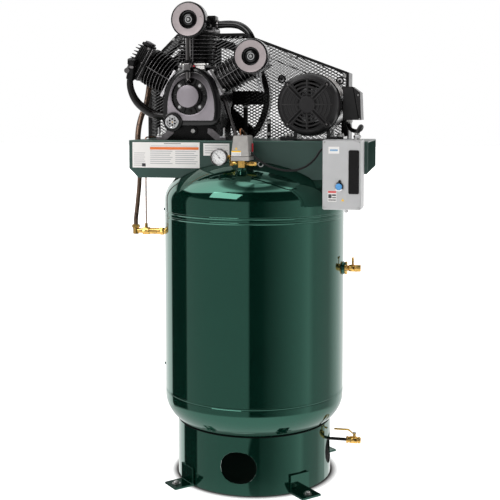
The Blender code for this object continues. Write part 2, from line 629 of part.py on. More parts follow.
# ---------------------------------------------------------------- motor
def make_motor():
    centre = (MOTOR_X, 0, MOTOR_Z)
    inside, stator = 0.096, 0.0765
    frame = turned(
        "motor_frame",
        [(MOTOR_R, -MOTOR_FRONT), (MOTOR_R, -MOTOR_REAR), (inside, -MOTOR_REAR), (inside, -0.112),
         (stator, -0.112), (stator, 0.034), (inside, 0.034), (inside, -MOTOR_FRONT)],
        "black_paint", centre, (0, -1, 0), steps=40, ring=True,
    )
    for side in (-1, 1):
        near, far = MOTOR_X + side * 0.062, MOTOR_X + side * 0.134
        foot = block("motor_foot", (min(near, far), -0.020, DECK_TOP + GAP),
                     (max(near, far), 0.130, DECK_TOP + 0.014), cutter=True)
        leg = block("motor_leg", (min(near, near + side * 0.016), -0.010, DECK_TOP + 0.002),
                    (max(near, near + side * 0.016), 0.120, 1.460), cutter=True)
        join(frame, foot, leg)
    turned("motor_end_bell",
           [(SHAFT_R + 0.001, -0.1875), (0.034, -0.1875), (0.040, -0.172), (0.110, -0.166),
            (MOTOR_R - 0.001, -0.158), (MOTOR_R - 0.001, -MOTOR_REAR - GAP),
            (0.096, -MOTOR_REAR - GAP), (0.092, -0.158), (0.032, -0.162), (0.032, -0.152),
            (SHAFT_R + 0.001, -0.152)][::-1],
           "black_paint", centre, (0, -1, 0), steps=28, ring=True)
    cover_r = 0.1255
    cover = turned("fan_cover",
                   [(0, 0.153), (0.032, 0.153), (0.034, 0.149), (0.106, 0.149), (cover_r, 0.136),
                    (cover_r + 0.001, -MOTOR_FRONT + GAP), (cover_r - 0.002, -MOTOR_FRONT + GAP),
                    (cover_r - 0.003, 0.135), (0.105, 0.1465), (0.033, 0.1465), (0.031, 0.150), (0, 0.150)],
                   "fan_plastic", centre, (0, -1, 0), steps=40)
    for index in range(8):
        a = math.radians(22.5 + 45 * index)
        slots = block("grille_slot", (-0.027, -0.17, -0.017), (0.027, -0.12, 0.017), cutter=True)
        slots.location = (MOTOR_X + 0.072 * math.cos(a), -0.15, MOTOR_Z + 0.072 * math.sin(a))
        slots.rotation_euler = (0, -a, 0)
        cut(cover, slots)
    turned("motor_rotor",
           [(0, 0.132), (0.013, 0.132), (0.013, 0.072), (SHAFT_R, 0.070), (SHAFT_R, 0.030),
            (0.074, 0.030), (0.074, -0.105), (SHAFT_R, -0.105), (SHAFT_R, -WHEEL_REAR - 0.004),
            (0, -WHEEL_REAR - 0.004)],
           "steel", centre, (0, -1, 0), steps=24)
    paddles = []
    for index in range(8):
        base = 45 * index
        paddles += arc((0, 0), 0.100, base - 4, base + 4, 1)
        paddles += arc((0, 0), 0.038, base + 10, base + 35, 1)
    fan = plate("cooling_fan", [paddles, circle((0, 0), 0.0134, 16)], -0.022, 0.022, "fan_plastic")
    fan.location = (MOTOR_X, -0.106, MOTOR_Z)
    side_box = [(0.4550, 1.5040), (0.4500, 1.6170), (0.4180, 1.6410), (0.3790, 1.6410), (0.3790, 1.5040)]
    box = plate("conduit_box", [side_box[::-1]], -0.035, 0.085, "black_paint")
    neck = block("box_neck", (MOTOR_X + MOTOR_R + 0.0006, 0.000, 1.535), (0.385, 0.050, 1.600), cutter=True)
    join(box, neck)


def make_conduit():
    route = [(0.398, 0.030, 1.5036), (0.398, 0.030, 1.4900), (0.402, 0.012, 1.474), (0.416, -0.022, 1.463),
             (0.438, -0.070, 1.459), (0.460, -0.130, 1.4660), (0.470, -0.180, 1.4760), (0.4705, -0.213, 1.4800),
             (0.4665, -0.238, 1.4710), (0.4610, -0.249, 1.4540), (0.4600, -0.250, 1.4400),
             (0.4600, -0.250, 1.4289)]
    tube("flex_conduit", flowing(route, 3), 0.0085, "rubber")


# ---------------------------------------------------------------- starter
def make_starter():
    lid = BOX_FRONT + 0.020
    body = block("starter_box", (BOX_LEFT, lid + GAP, BOX_LOW), (BOX_RIGHT, BOX_BACK, BOX_HIGH), "box_grey")
    hollow = block("starter_hollow", (BOX_LEFT + 0.003, lid - 0.02, BOX_LOW + 0.003),
                   (BOX_RIGHT - 0.003, BOX_BACK - 0.003, BOX_HIGH - 0.003), cutter=True)
    cut(body, hollow)
    cover = block("starter_cover", (BOX_LEFT, BOX_FRONT, BOX_LOW), (BOX_RIGHT, lid, BOX_HIGH),
                  "box_grey", bevel=0.004)
    back = block("cover_hollow", (BOX_LEFT + 0.003, BOX_FRONT + 0.003, BOX_LOW + 0.003),
                 (BOX_RIGHT - 0.003, lid + 0.02, BOX_HIGH - 0.003), cutter=True)
    button = Vector((0.398, 0, 1.2500))
    hole = rod("button_hole", button + Vector((0, BOX_FRONT - 0.01, 0)), button + Vector((0, BOX_FRONT + 0.02, 0)),
               0.0135, sides=20, cutter=True)
    cut(cover, back, hole)
    turned("reset_button", [(0, 0.009), (0.011, 0.009), (0.0125, 0.007), (0.0125, -0.010), (0, -0.010)],
           "blue_plastic", button + Vector((0, BOX_FRONT, 0)), (0, -1, 0), steps=20)


# ---------------------------------------------------------------- switch, gauge and tank fittings
def make_switch():
    x, y = SWITCH_X, SWITCH_Y
    top = 1.316 + GAP
    manifold = rod("manifold", (x, y, 1.300), (x, y, 1.3446), 0.0076, "brass", sides=16)
    body = block("manifold_block", (x - 0.013, y - 0.013, top), (x + 0.013, y + 0.027, 1.3430), cutter=True)
    bend, back, level = -0.0415, -0.2520, 1.3320
    arm = rod("gauge_arm", (x, back, level), (bend, back, level), 0.0075, sides=12, cutter=True)
    knee = rod("gauge_knee", (bend, back, level - 0.009), (bend, back, GAUGE.z + 0.009), 0.0088,
               sides=12, cutter=True)
    reach = rod("gauge_reach", (bend, back, GAUGE.z), (GAUGE.x - 0.009, back, GAUGE.z), 0.0070,
                sides=12, cutter=True)
    socket = rod("gauge_socket", (GAUGE.x, back + 0.008, GAUGE.z), (GAUGE.x, GAUGE.y + 0.0259, GAUGE.z),
                 0.0100, sides=12, cutter=True)
    join(manifold, body, arm, knee, reach, socket)
    block("switch_base", (-0.030, -0.318, 1.3450), (0.043, -0.222, 1.3620), "box_grey", bevel=0.002)
    cover_outline = [(0.043, 1.3624), (0.038, 1.4440), (-0.020, 1.4440), (-0.030, 1.3624)]
    plate("switch_cover", [cover_outline[::-1]], -0.318, -0.222, "box_grey")
    pivot = Vector((0.0432, -0.262, 1.384))
    lever = block("auto_off_lever", (0, 0, 0), (0.0055, 0.010, 0.034), "red_plastic", bevel=0.001)
    move_mesh(lever, Vector((0.00275, 0, 0.012)))
    lever.location = pivot
    valve_start = Vector((x + 0.0134, y, 1.330))
    turned("safety_valve",
           [(0.0030, 0.046), (0.0095, 0.046), (0.0095, 0.030), (0.0110, 0.030), (0.0110, 0.016),
            (0.0070, 0.014), (0.0070, 0.0), (0.0030, 0.0)],
           "brass", valve_start, (1, 0, 0), steps=16, ring=True)
    stem = rod("safety_pull", valve_start + Vector((0.020, 0, 0)), valve_start + Vector((0.054, 0, 0)),
               0.0022, "steel", sides=10)
    ring = turned("pull_ring", [(0.0110, 0.0015), (0.0110, -0.0015), (0.0080, -0.0015), (0.0080, 0.0015)],
                  at=valve_start + Vector((0.0625, 0, 0)), axis=(0, 1, 0), steps=16, ring=True, cutter=True)
    join(stem, ring)


def move_mesh(obj, shift):
    """Shifts a mesh under its own origin, so that the origin stays on a joint's axis."""
    obj.data.transform(Matrix.Translation(shift))


def make_gauge():
    x, y, z = GAUGE
    turned("gauge_case",
           [(0, -0.0080), (0.0290, -0.0080), (0.0290, 0.000), (GAUGE_R - 0.002, 0.002),
            (GAUGE_R, -0.002), (GAUGE_R - 0.001, -0.024), (0.006, -0.0255), (0, -0.0255)],
           "chrome", (x, y, z), (0, -1, 0), steps=32)
    needle = plate("gauge_needle", [[(-0.0012, -0.008), (0.0012, -0.008), (0.0006, 0.023), (-0.0006, 0.023)]],
                   -0.0008, 0.0008, "black_paint")
    needle.location = (x, y + 0.0050, z)
    tilt = Matrix.Rotation(math.radians(-38), 3, "Y")
    needle.rotation_euler = (tilt @ Matrix.Rotation(math.radians(90), 3, "X")).to_euler()


def make_check_valve():
    """Elbow, check valve and nipple into the tank's left port."""
    z = CHECK_Z
    body = turned("check_valve",
                  [(0, 0.0005), (0.0092, 0.0005), (0.0092, -0.026), (0.0125, -0.026), (0.0125, -0.033),
                   (0.0160, -0.035), (0.0160, -0.052), (0.0140, -0.054), (0.0140, -0.098),
                   (0.0165, -0.100), (0.0165, -0.118), (0.0108, -0.122), (0.0108, -0.156), (0, -0.156)],
                  "brass", (-TANK_R + 0.014, 0, z), (1, 0, 0), steps=20)
    x = -0.5298
    elbow = rod("elbow", (x, 0, z - 0.0140), (x, 0, z + 0.014), 0.0132, sides=18, cutter=True)
    nut = rod("elbow_nut", (x, 0, z + 0.0125), (x, 0, z + 0.0270), 0.0160, sides=6, cutter=True)
    boss = rod("tube_boss", (-0.4824, 0, z + 0.010), (-0.4824, 0, z + 0.0330), 0.0070, sides=12, cutter=True)
    join(body, elbow, nut, boss)
    route = [(-0.4824, 0, z + 0.0334), (-0.4824, 0, 1.100), (-0.4824, 0, 1.240), (-0.4824, 0, 1.400),
             (-0.4824, 0, 1.4220), (-0.4790, 0.007, 1.4275), (-0.470, 0.026, 1.4280), (-0.455, 0.060, 1.4265),
             (-0.425, 0.120, 1.4265), (-0.385, 0.165, 1.4265), (-0.300, 0.180, 1.4265),
             (-0.150, 0.180, 1.4265), (-0.075, 0.160, 1.4265), (-0.040, 0.100, 1.4265),
             (-0.020, 0.000, 1.4265), (-0.012, -0.080, 1.4300), (-0.010, -0.150, 1.4480),
             (-0.010, -0.205, 1.4680), (-0.007, -0.240, 1.4690), (-0.006, -0.250, 1.4600),
             (-0.006, -0.250, 1.4500), (-0.006, -0.250, 1.4444)]
    tube("unloader_tube", flowing(route, 3), 0.0032, "copper")


def make_side_valve():
    z = SIDE_Z
    turned("side_valve",
           [(0, 0.074), (0.0145, 0.074), (0.0145, 0.056), (0.0125, 0.054), (0.0125, 0.050),
            (0.0150, 0.048), (0.0150, 0.026), (0.0110, 0.022), (0.0110, 0.0180), (0.0250, 0.0178),
            (0.0270, 0.0150), (0.0270, 0.0085), (0.0103, 0.0084), (0.0103, -0.020), (0, -0.020)],
           "brass", (TANK_R, 0, z), (1, 0, 0), steps=18)
    handle = rod("side_valve_handle", (TANK_R + 0.0405, 0, z + 0.0154), (TANK_R + 0.0405, 0, z + 0.0400),
                 0.0050, "brass", sides=12)
    bar = rod("handle_bar", (TANK_R + 0.0405, -0.016, z + 0.0420), (TANK_R + 0.0405, 0.016, z + 0.0420),
              0.0045, sides=10, cutter=True)
    join(handle, bar)


def make_drain():
    z = DRAIN_Z
    route = [(DRAIN_X, 0, 0.188), (DRAIN_X, 0, 0.172), (DRAIN_X + 0.003, 0, 0.158),
             (DRAIN_X + 0.012, 0, z + 0.001), (DRAIN_X + 0.026, 0, z), (0.3978, 0, z)]
    tube("drain_pipe", route, 0.0068, "black_paint", resolution=2)
    body = turned("drain_valve",
                  [(0, 0.062), (0.0115, 0.062), (0.0120, 0.048), (0.0150, 0.046), (0.0150, 0.018),
                   (0.0100, 0.006), (0.0100, 0.0), (0, 0.0)],
                  "brass", (0.3985, 0, z), (1, 0, 0), steps=18)
    stem = rod("valve_stem", (0.4330, 0, z + 0.010), (0.4330, 0, z + 0.0270), 0.0062, sides=12, cutter=True)
    join(body, stem)
    outline = [(-0.008, 0.0), (0.008, 0.0), (0.008, 0.003), (-0.0075, 0.003), (-0.0245, 0.0180),
               (-0.0860, 0.0180), (-0.0860, 0.0130), (-0.0255, 0.0130)]
    lever = plate("drain_lever", [outline[::-1]], -0.0065, 0.0065, "yellow_vinyl")
    lever.location = (0.4330, 0, z + 0.0274)


def make_switch_lead():
    route = [(0.0434, -0.290, 1.3720), (0.0510, -0.290, 1.3715), (0.068, -0.296, 1.356), (0.100, -0.303, 1.334),
             (0.140, -0.309, 1.318), (0.185, -0.311, 1.309), (0.225, -0.309, 1.310), (0.265, -0.300, 1.324),
             (0.297, -0.285, 1.352), (0.314, -0.272, 1.380), (0.3250, -0.266, 1.3920), (0.3336, -0.266, 1.3920)]
    tube("switch_lead", flowing(route, 2), 0.0045, "rubber")


# ---------------------------------------------------------------- the machine
make_tank()
make_skirt()
make_feet()
make_platform()
make_crankcase()
make_cover()
make_crankshaft()
for cylinder in CYLINDERS:
    make_cylinder(cylinder)
    make_head(cylinder)
    make_piston(cylinder)
make_filter("filter_top", (-0.234, -0.203, 1.912), CYLINDERS["centre"][1] - 0.0825, 0.073)
make_filter("filter_right", (0.025, -0.203, 1.7605), CYLINDERS["right"][1] - 0.0605, 0.071)
make_pump_pipes()
make_wheels()
make_belt()
make_guard()
make_motor()
make_conduit()
make_starter()
make_switch()
make_gauge()
make_check_valve()
make_side_valve()
make_drain()
make_switch_lead()
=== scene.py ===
"""The look of a vertical-tank air compressor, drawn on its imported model."""

import json
import math

import bmesh
import bpy
from mathutils import Matrix, Vector

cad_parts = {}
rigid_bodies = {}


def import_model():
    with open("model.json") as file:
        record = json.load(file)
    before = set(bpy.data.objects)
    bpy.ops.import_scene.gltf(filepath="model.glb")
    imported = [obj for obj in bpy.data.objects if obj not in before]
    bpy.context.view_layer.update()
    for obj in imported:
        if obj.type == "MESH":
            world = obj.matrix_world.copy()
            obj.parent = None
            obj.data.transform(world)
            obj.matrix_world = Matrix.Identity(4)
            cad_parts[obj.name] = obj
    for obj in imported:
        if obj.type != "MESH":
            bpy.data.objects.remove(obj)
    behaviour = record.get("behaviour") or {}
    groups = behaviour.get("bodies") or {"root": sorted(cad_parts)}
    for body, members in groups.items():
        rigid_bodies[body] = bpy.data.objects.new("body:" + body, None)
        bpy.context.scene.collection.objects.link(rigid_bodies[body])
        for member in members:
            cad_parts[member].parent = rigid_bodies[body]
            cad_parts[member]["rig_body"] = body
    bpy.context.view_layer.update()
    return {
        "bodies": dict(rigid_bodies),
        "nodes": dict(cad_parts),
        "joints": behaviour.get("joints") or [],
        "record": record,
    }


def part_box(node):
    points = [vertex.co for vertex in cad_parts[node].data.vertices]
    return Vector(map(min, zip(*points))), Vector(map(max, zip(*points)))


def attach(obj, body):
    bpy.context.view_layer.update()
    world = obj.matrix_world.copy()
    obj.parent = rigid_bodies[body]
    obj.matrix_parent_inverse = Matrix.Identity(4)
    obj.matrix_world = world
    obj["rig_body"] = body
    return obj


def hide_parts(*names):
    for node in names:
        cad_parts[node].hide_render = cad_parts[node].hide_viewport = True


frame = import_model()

NODES = frame["nodes"]
JOINT = {joint["name"]: Vector(joint["pos_m"]) for joint in frame["joints"] if "pos_m" in joint}
AXIS_X = sum(corner.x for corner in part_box("base_skirt")) / 2
CRANK, MOTOR = JOINT["crank_spin"], JOINT["motor_spin"]
TANK_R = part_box("tank_shell")[1].y
DOME_LOW, DOME_HIGH, DOME_RISE = 0.34, 1.168, 0.19
DECK_LOW, DECK_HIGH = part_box("platform")
FRONT, BACK, UP, DOWN = (0, -1, 0), (0, 1, 0), (0, 0, 1), (0, 0, -1)
LEFT, RIGHT = (-1, 0, 0), (1, 0, 0)
ORIGIN = (0, 0, 0)


def P(x, y, z):
    """A point measured from the tank's axis."""
    return Vector((AXIS_X + x, y, z))


def around(centre, radius, degrees, y=0.0):
    """A point beside a front-facing axis, at an angle from its right-hand side."""
    a = math.radians(degrees)
    return Vector((centre.x + radius * math.cos(a), y, centre.z + radius * math.sin(a)))


def placed(name, data):
    """A new object in the scene."""
    made = bpy.data.objects.new(name, data)
    bpy.context.scene.collection.objects.link(made)
    return made


# ---------------------------------------------------------------- shader trees
class Tree:
    """A shader tree, with short ways to add, set and join its nodes."""

    def __init__(self, owner):
        owner.use_nodes = True
        self.nodes, self.links = owner.node_tree.nodes, owner.node_tree.links

    def set(self, node, inputs):
        for name, value in inputs.items():
            if isinstance(value, bpy.types.NodeSocket):
                self.links.new(value, node.inputs[name])
            else:
                node.inputs[name].default_value = value

    def add(self, kind, inputs=None, **settings):
        node = self.nodes.new("ShaderNode" + kind)
        for name, value in settings.items():
            setattr(node, name, value)
        self.set(node, inputs or {})
        return node

    def maths(self, operation, *values):
        return self.add("Math", dict(enumerate(values)), operation=operation).outputs["Value"]

    def mix(self, share, first, second):
        return self.add("Mix", {0: share, 6: first, 7: second}, data_type="RGBA").outputs[2]

    def span(self, value, low, high, to_low=0.0, to_high=1.0):
        return self.add("MapRange", {"Value": value, "From Min": low, "From Max": high,
                                     "To Min": to_low, "To Max": to_high}).outputs["Result"]

    def ramp(self, value, stops):
        """A colour ramp through stops of (position, colour)."""
        made = self.add("ValToRGB", {"Fac": value})
        points = made.color_ramp.elements
        while len(points) < len(stops):
            points.new(0.5)
        for point, (position, colour) in zip(points, stops):
            point.position = position
            point.color = (*colour, 1)
        return made.outputs["Color"]


# ---------------------------------------------------------------- camera, light and floor
def make_camera():
    data = bpy.data.cameras.new("camera")
    camera = placed("camera", data)
    camera.location = P(0.82, -4.0123, 1.5336)
    camera.rotation_euler = (math.radians(90 - 3.8706), 0, math.radians(11.5511))
    data.lens, data.sensor_width = 69.4, 36
    data.shift_x, data.shift_y = -0.0088, -0.144
    bpy.context.scene.camera = camera


def make_key_light():
    data = bpy.data.lights.new("key", "AREA")
    data.shape = "RECTANGLE"
    data.size, data.size_y, data.energy = 2.6, 1.5, 55
    light = placed("key", data)
    at, target = P(-1.7, -2.9, 3.9), P(0, 0, 1.3)
    light.location = at
    light.rotation_euler = (target - at).to_track_quat("-Z", "Y").to_euler()
    light.visible_camera = False


def make_studio():
    """A light tent known by direction: tall panels at both sides, a roof and dark gaps between."""
    camera_turn, brightest = 11.55, 3
    scene = bpy.context.scene
    scene.view_settings.view_transform = "Standard"
    scene.world = bpy.data.worlds.new("studio")
    tree = Tree(scene.world)
    maths = tree.maths
    place = tree.add("TexCoord").outputs["Generated"]
    way = tree.add("SeparateXYZ", {"Vector": place}).outputs
    turn = maths("ARCTAN2", way["X"], maths("MULTIPLY", way["Y"], -1.0))
    circles = maths("DIVIDE", turn, 2 * math.pi)
    share = maths("FRACT", maths("ADD", circles, 0.5 - camera_turn / 360))
    raised = maths("MULTIPLY_ADD", way["Z"], 0.5, 0.5)

    def by_angle(stops):
        """Levels by degrees clockwise from the camera's view."""
        return tree.ramp(share, [((angle + 180) / 360, (level / brightest,) * 3)
                                 for angle, level in stops])

    def by_height(stops):
        """Levels by the sine of the height above the horizon."""
        return tree.ramp(raised, [((z + 1) / 2, (level,) * 3) for z, level in stops])

    panels = by_angle([
        (-180, 0.8), (-167, 0.8), (-165, 1.5), (-132, 1.5), (-130, 0.02), (-96, 0.02), (-94.5, 0.5),
        (-7.5, 0.5), (-6, 0.015), (9, 0.03), (30, 0.26), (60, 0.62), (72, 0.85), (80, 0.55),
        (108, 0.5), (122, 0.9), (142, 1.3), (165, 1.3), (180, 0.8)])
    sides = maths("MULTIPLY", panels, by_height([(-0.42, 0), (-0.36, 1), (0.3, 1), (0.38, 0.08),
                                                 (0.72, 0.05)]))
    start = by_angle([
        (-180, 0.6), (-128, 0.42), (-100, 0.5), (-80, 0.63), (-64, 0.72), (-50, 0.8), (0, 0.85),
        (30, 0.84), (56, 0.8), (76, 0.76), (84, 0.8), (124, 0.6), (180, 0.6)])
    above = by_angle([
        (-180, 1.4), (-128, 1.4), (-124, 2.4), (-60, 3), (-46, 2.6), (-26, 1.3), (-18, 0.4),
        (-4, 0.5), (2, 1.6), (56, 1.6), (76, 2.4), (82, 2.2), (86, 0.4), (120, 0.4), (124, 1.4),
        (180, 1.4)])
    past = maths("MULTIPLY_ADD", start, -brightest, way["Z"])
    gate = maths("MINIMUM", maths("MAXIMUM", maths("MULTIPLY", past, 25.0), 0.0), 1.0)
    ceiling = by_height([(0, 1), (0.88, 1), (0.92, 0.25), (0.97, 0.1), (0.98, 0.9)])
    roof = maths("MULTIPLY", maths("MULTIPLY", above, gate), ceiling)
    sweep = by_height([(-0.42, 0.36), (-0.36, 0)])
    lit = maths("MULTIPLY", maths("ADD", maths("ADD", sides, roof), sweep), brightest)
    seen = tree.add("LightPath").outputs["Is Camera Ray"]
    level = maths("ADD", maths("MULTIPLY", lit, maths("SUBTRACT", 1.0, seen)), seen)
    tree.set(tree.nodes["Background"], {"Strength": level, "Color": (1, 1, 1, 1)})


def make_floor():
    """Pale glowing paper, with a painted shade under the skirt: dark there and not glowing."""
    reach, z, inside, outside = 40, -0.0005, 0.332, 0.365
    mesh = bpy.data.meshes.new("floor")
    mesh.from_pydata([(-reach, -reach, z), (reach, -reach, z), (reach, reach, z),
                      (-reach, reach, z)], [], [(0, 1, 2, 3)])
    floor = placed("floor", mesh)
    paper = bpy.data.materials.new("sweep_paper")
    tree = Tree(paper)
    place = tree.add("TexCoord").outputs["Object"]
    away = tree.add("VectorMath", {0: place, 1: P(0, 0, z)}, operation="DISTANCE").outputs["Value"]
    # Painted shade: inside the skirt the paper is dark and unlit, rising to a glow just outside it.
    glow = tree.span(away, inside, outside, 0.0, 0.95)
    tone = tree.mix(glow, (0.06, 0.05, 0.05, 1), (0.9, 0.9, 0.895, 1))
    tree.set(tree.nodes["Principled BSDF"], {"Roughness": 0.9, "Emission Strength": glow,
                                             "Base Color": tone, "Emission Color": (1, 1, 1, 1)})
    mesh.materials.append(paper)
    floor.visible_glossy = False


make_camera()
make_studio()
make_key_light()
make_floor()


# ---------------------------------------------------------------- finishes
FINISH = {}


def finish(name, slot, colour, rough, metal=0.0, vary=0.12, grain=25.0, spread=0.05, bump=0.0,
           bump_grain=350.0, stretch=(1, 1, 1), flecks=None, ior=None, tint=None, spec=0.5,
           shade=None):
    """A procedural finish: mottled colour, uneven gloss, fine relief and, if asked, flecks and a
    painted shade that darkens it with height.
    """
    made = bpy.data.materials.new(name)
    tree = Tree(made)
    shader = tree.nodes["Principled BSDF"]
    tree.set(shader, {"Metallic": metal, "Specular IOR Level": spec})
    if ior:
        tree.set(shader, {"IOR": ior, "Specular Tint": (*tint, 1)})
    place = tree.add("TexCoord").outputs["Object"]
    scaled = tree.add("Mapping", {"Vector": place, "Scale": stretch}).outputs["Vector"]

    def noise(scale, detail=4.0):
        inputs = {"Vector": scaled, "Scale": scale, "Detail": detail}
        return tree.add("TexNoise", inputs).outputs["Fac"]

    paint = tree.ramp(noise(grain), [(0.32, [c * (1 - vary) for c in colour]),
                                     (0.68, [min(1.0, c * (1 + vary)) for c in colour])])
    if flecks:
        fleck, share, scale = flecks
        spots = tree.ramp(noise(scale, 2.0), [(share, (0, 0, 0)), (share + 0.06, (1, 1, 1))])
        paint = tree.mix(spots, paint, (*fleck, 1))
    # Painted shade: from the low to the high height the colour turns to the dark tone.
    if shade:
        low, high, dark = shade
        height = tree.add("SeparateXYZ", {"Vector": place}).outputs["Z"]
        paint = tree.mix(tree.span(height, low, high), paint, (*dark, 1))
    gloss = tree.span(noise(grain * 2.7), 0.3, 0.7, max(0.02, rough - spread), rough + spread)
    tree.set(shader, {"Base Color": paint, "Roughness": gloss})
    if bump:
        relief = tree.add("Bump", {"Strength": bump, "Distance": 0.0006,
                                   "Height": noise(bump_grain, 2.0)})
        tree.set(shader, {"Normal": relief.outputs["Normal"]})
    FINISH[name] = (made, slot)


finish("enamel", "green_paint", (0.0006, 0.01, 0.0062), 0.06, vary=0.08, grain=6, spread=0.015,
       bump=0.03, bump_grain=120, ior=2.0, tint=(0.38, 1.0, 0.76))
finish("deck_satin", "deck_paint", (0.026, 0.062, 0.051), 0.34, vary=0.1, grain=9, bump=0.12,
       bump_grain=420)
# Painted highlight: a lighter copy of the deck paint for the platform's lit front edge.
finish("deck_painted_edge_highlight", "deck_paint", (0.06, 0.13, 0.105), 0.35, vary=0.1, grain=30)
finish("gloss_black", "black_paint", (0.0042, 0.004, 0.0044), 0.16, vary=0.15, grain=20, bump=0.12)
finish("satin_black", "black_paint", (0.006, 0.0056, 0.0058), 0.34, vary=0.18, grain=20,
       spread=0.07, bump=0.2, spec=0.32)
finish("box_black", "black_paint", (0.0135, 0.013, 0.0134), 0.36, grain=30, spread=0.06, bump=0.2,
       spec=0.45)
# Painted highlight: a light grey-beige standing in for the glare on the motor's glossy black frame.
finish("frame_painted_highlight", "black_paint", (0.48, 0.45, 0.43), 0.4, vary=0.2, grain=40, spread=0.08,
       bump=0.3)
finish("dial_ink", "black_paint", (0.02, 0.02, 0.022), 0.5, vary=0.1, grain=40)
finish("cast_black", "cast_iron", (0.0024, 0.0022, 0.0024), 0.27, vary=0.25, grain=45, spread=0.09,
       bump=0.65, bump_grain=520, spec=0.2)
# Painted highlight: a lighter copy of the cast iron for lit fin rims and edges.
finish("cast_painted_highlight", "cast_iron", (0.23, 0.222, 0.225), 0.3, metal=0.6, vary=0.25, grain=60,
       spread=0.1, bump=0.4, bump_grain=500)
finish("cast_grey", "cast_iron", (0.06, 0.057, 0.06), 0.3, metal=0.4, vary=0.2, grain=50,
       spread=0.08, bump=0.6, bump_grain=480)
# Painted sheen: a near-white copy of the cast iron for lit strips on the case shoulders and feet.
finish("cast_painted_sheen", "cast_iron", (0.7, 0.68, 0.7), 0.32, metal=0.4, vary=0.15, grain=40,
       spread=0.08, bump=0.4, bump_grain=500)
finish("foot_grey", "cast_iron", (0.13, 0.12, 0.126), 0.34, metal=0.4, vary=0.18, grain=50,
       spread=0.08, bump=0.5, bump_grain=480)
# Painted shade: the cover's face darkens towards its top, from z 1.575 to 1.69.
finish("cover_face", "cover_casting", (0.32, 0.29, 0.318), 0.34, metal=0.35, vary=0.08, grain=14,
       spread=0.06, bump=0.35, bump_grain=600, shade=(1.575, 1.69, (0.02, 0.018, 0.019)))
finish("cap_face", "cover_casting", (0.285, 0.258, 0.282), 0.34, metal=0.35, vary=0.07, grain=22,
       spread=0.06, bump=0.25, bump_grain=700)
finish("filter_face", "filter_grey", (0.43, 0.375, 0.38), 0.32, metal=0.45, vary=0.06, grain=18,
       bump=0.2, bump_grain=700)
finish("zinc", "steel", (0.62, 0.62, 0.61), 0.28, metal=1.0, vary=0.14, grain=90, spread=0.09,
       bump=0.2, flecks=((0.42, 0.4, 0.34), 0.6, 140))
finish("turned_steel", "steel", (0.5, 0.5, 0.51), 0.24, metal=1.0, vary=0.1, grain=60, spread=0.06,
       stretch=(1, 1, 6))
finish("dark_chrome", "steel", (0.2, 0.19, 0.19), 0.16, metal=1.0, vary=0.15, grain=40)
finish("machined", "aluminium", (0.7, 0.7, 0.71), 0.33, metal=1.0, vary=0.08, grain=70, spread=0.08)
finish("brass_turned", "brass", (0.85, 0.53, 0.15), 0.22, metal=1.0, vary=0.18, grain=55,
       spread=0.08, flecks=((0.42, 0.26, 0.09), 0.61, 110))
finish("copper_drawn", "copper", (0.58, 0.265, 0.135), 0.3, metal=1.0, vary=0.22, grain=35,
       spread=0.08, flecks=((0.22, 0.11, 0.06), 0.57, 60))
finish("copper_dull", "copper", (0.19, 0.125, 0.09), 0.36, metal=0.7, vary=0.25, grain=30,
       spread=0.08, flecks=((0.1, 0.07, 0.055), 0.56, 50))
finish("hose_black", "rubber", (0.005, 0.0038, 0.0034), 0.2, vary=0.25, grain=40, spread=0.08,
       bump=0.4, bump_grain=900)
finish("rubber_matt", "rubber", (0.006, 0.006, 0.0064), 0.48, vary=0.2, grain=60, spread=0.06,
       bump=0.3, spec=0.35)
finish("lead_jacket", "rubber", (0.0045, 0.0048, 0.005), 0.4, vary=0.2, grain=80, spread=0.06,
       bump=0.25, spec=0.3)
finish("fan_moulding", "fan_plastic", (0.015, 0.014, 0.0147), 0.44, vary=0.1, grain=30, bump=0.35,
       bump_grain=900, spec=0.38)
# Painted highlight: a lighter, glossier copy of the fan plastic for raised ribs and lit edges.
finish("rib_painted_highlight", "fan_plastic", (0.02, 0.0188, 0.0192), 0.4, vary=0.1, grain=30, bump=0.3,
       bump_grain=900, spec=0.45)
# Painted shade: a darker copy of the fan plastic for the grooves.
finish("groove_painted_shade", "fan_plastic", (0.0045, 0.0042, 0.0044), 0.55, vary=0.1, grain=40, spec=0.2)
# Painted shade: near-black put in holes, gaps and hollows where only shade falls.
finish("painted_shadow_black", "fan_plastic", (0.0015, 0.0013, 0.0014), 0.7, vary=0.1, spec=0.1)
finish("powder_grey", "box_grey", (0.45, 0.45, 0.453), 0.42, vary=0.04, grain=12, spread=0.04,
       bump=0.25, bump_grain=1100)
finish("cast_box_grey", "box_grey", (0.33, 0.315, 0.3), 0.42, grain=35, spread=0.06, bump=0.6,
       bump_grain=500)
finish("window_black", "box_grey", (0.005, 0.0045, 0.0048), 0.3, vary=0.1, grain=30, spread=0.04,
       spec=0.3)
finish("plated", "chrome", (0.82, 0.82, 0.83), 0.09, metal=1.0, vary=0.05, grain=40, spread=0.03)
finish("dial_white", "chrome", (0.8, 0.8, 0.79), 0.35, vary=0.02, grain=20)
finish("red_mould", "red_plastic", (0.55, 0.015, 0.03), 0.32, vary=0.08, grain=60)
finish("blue_mould", "blue_plastic", (0.09, 0.31, 0.64), 0.25, vary=0.1, grain=80)
finish("vinyl", "yellow_vinyl", (0.8, 0.47, 0.015), 0.36, vary=0.08, grain=50, bump=0.2)
finish("label_white", "box_grey", (0.74, 0.72, 0.7), 0.42, vary=0.03, grain=8, spread=0.04)
finish("label_grey", "box_grey", (0.34, 0.34, 0.35), 0.45, vary=0.08, grain=40)
finish("label_dark", "box_grey", (0.05, 0.05, 0.055), 0.45, vary=0.1, grain=40)
for tone, colour in (("orange", (0.72, 0.16, 0.025)), ("amber", (0.86, 0.52, 0.02)),
                     ("red", (0.62, 0.1, 0.1)), ("blue", (0.18, 0.36, 0.55))):
    finish("label_" + tone, "box_grey", colour, 0.42, vary=0.05, grain=20)


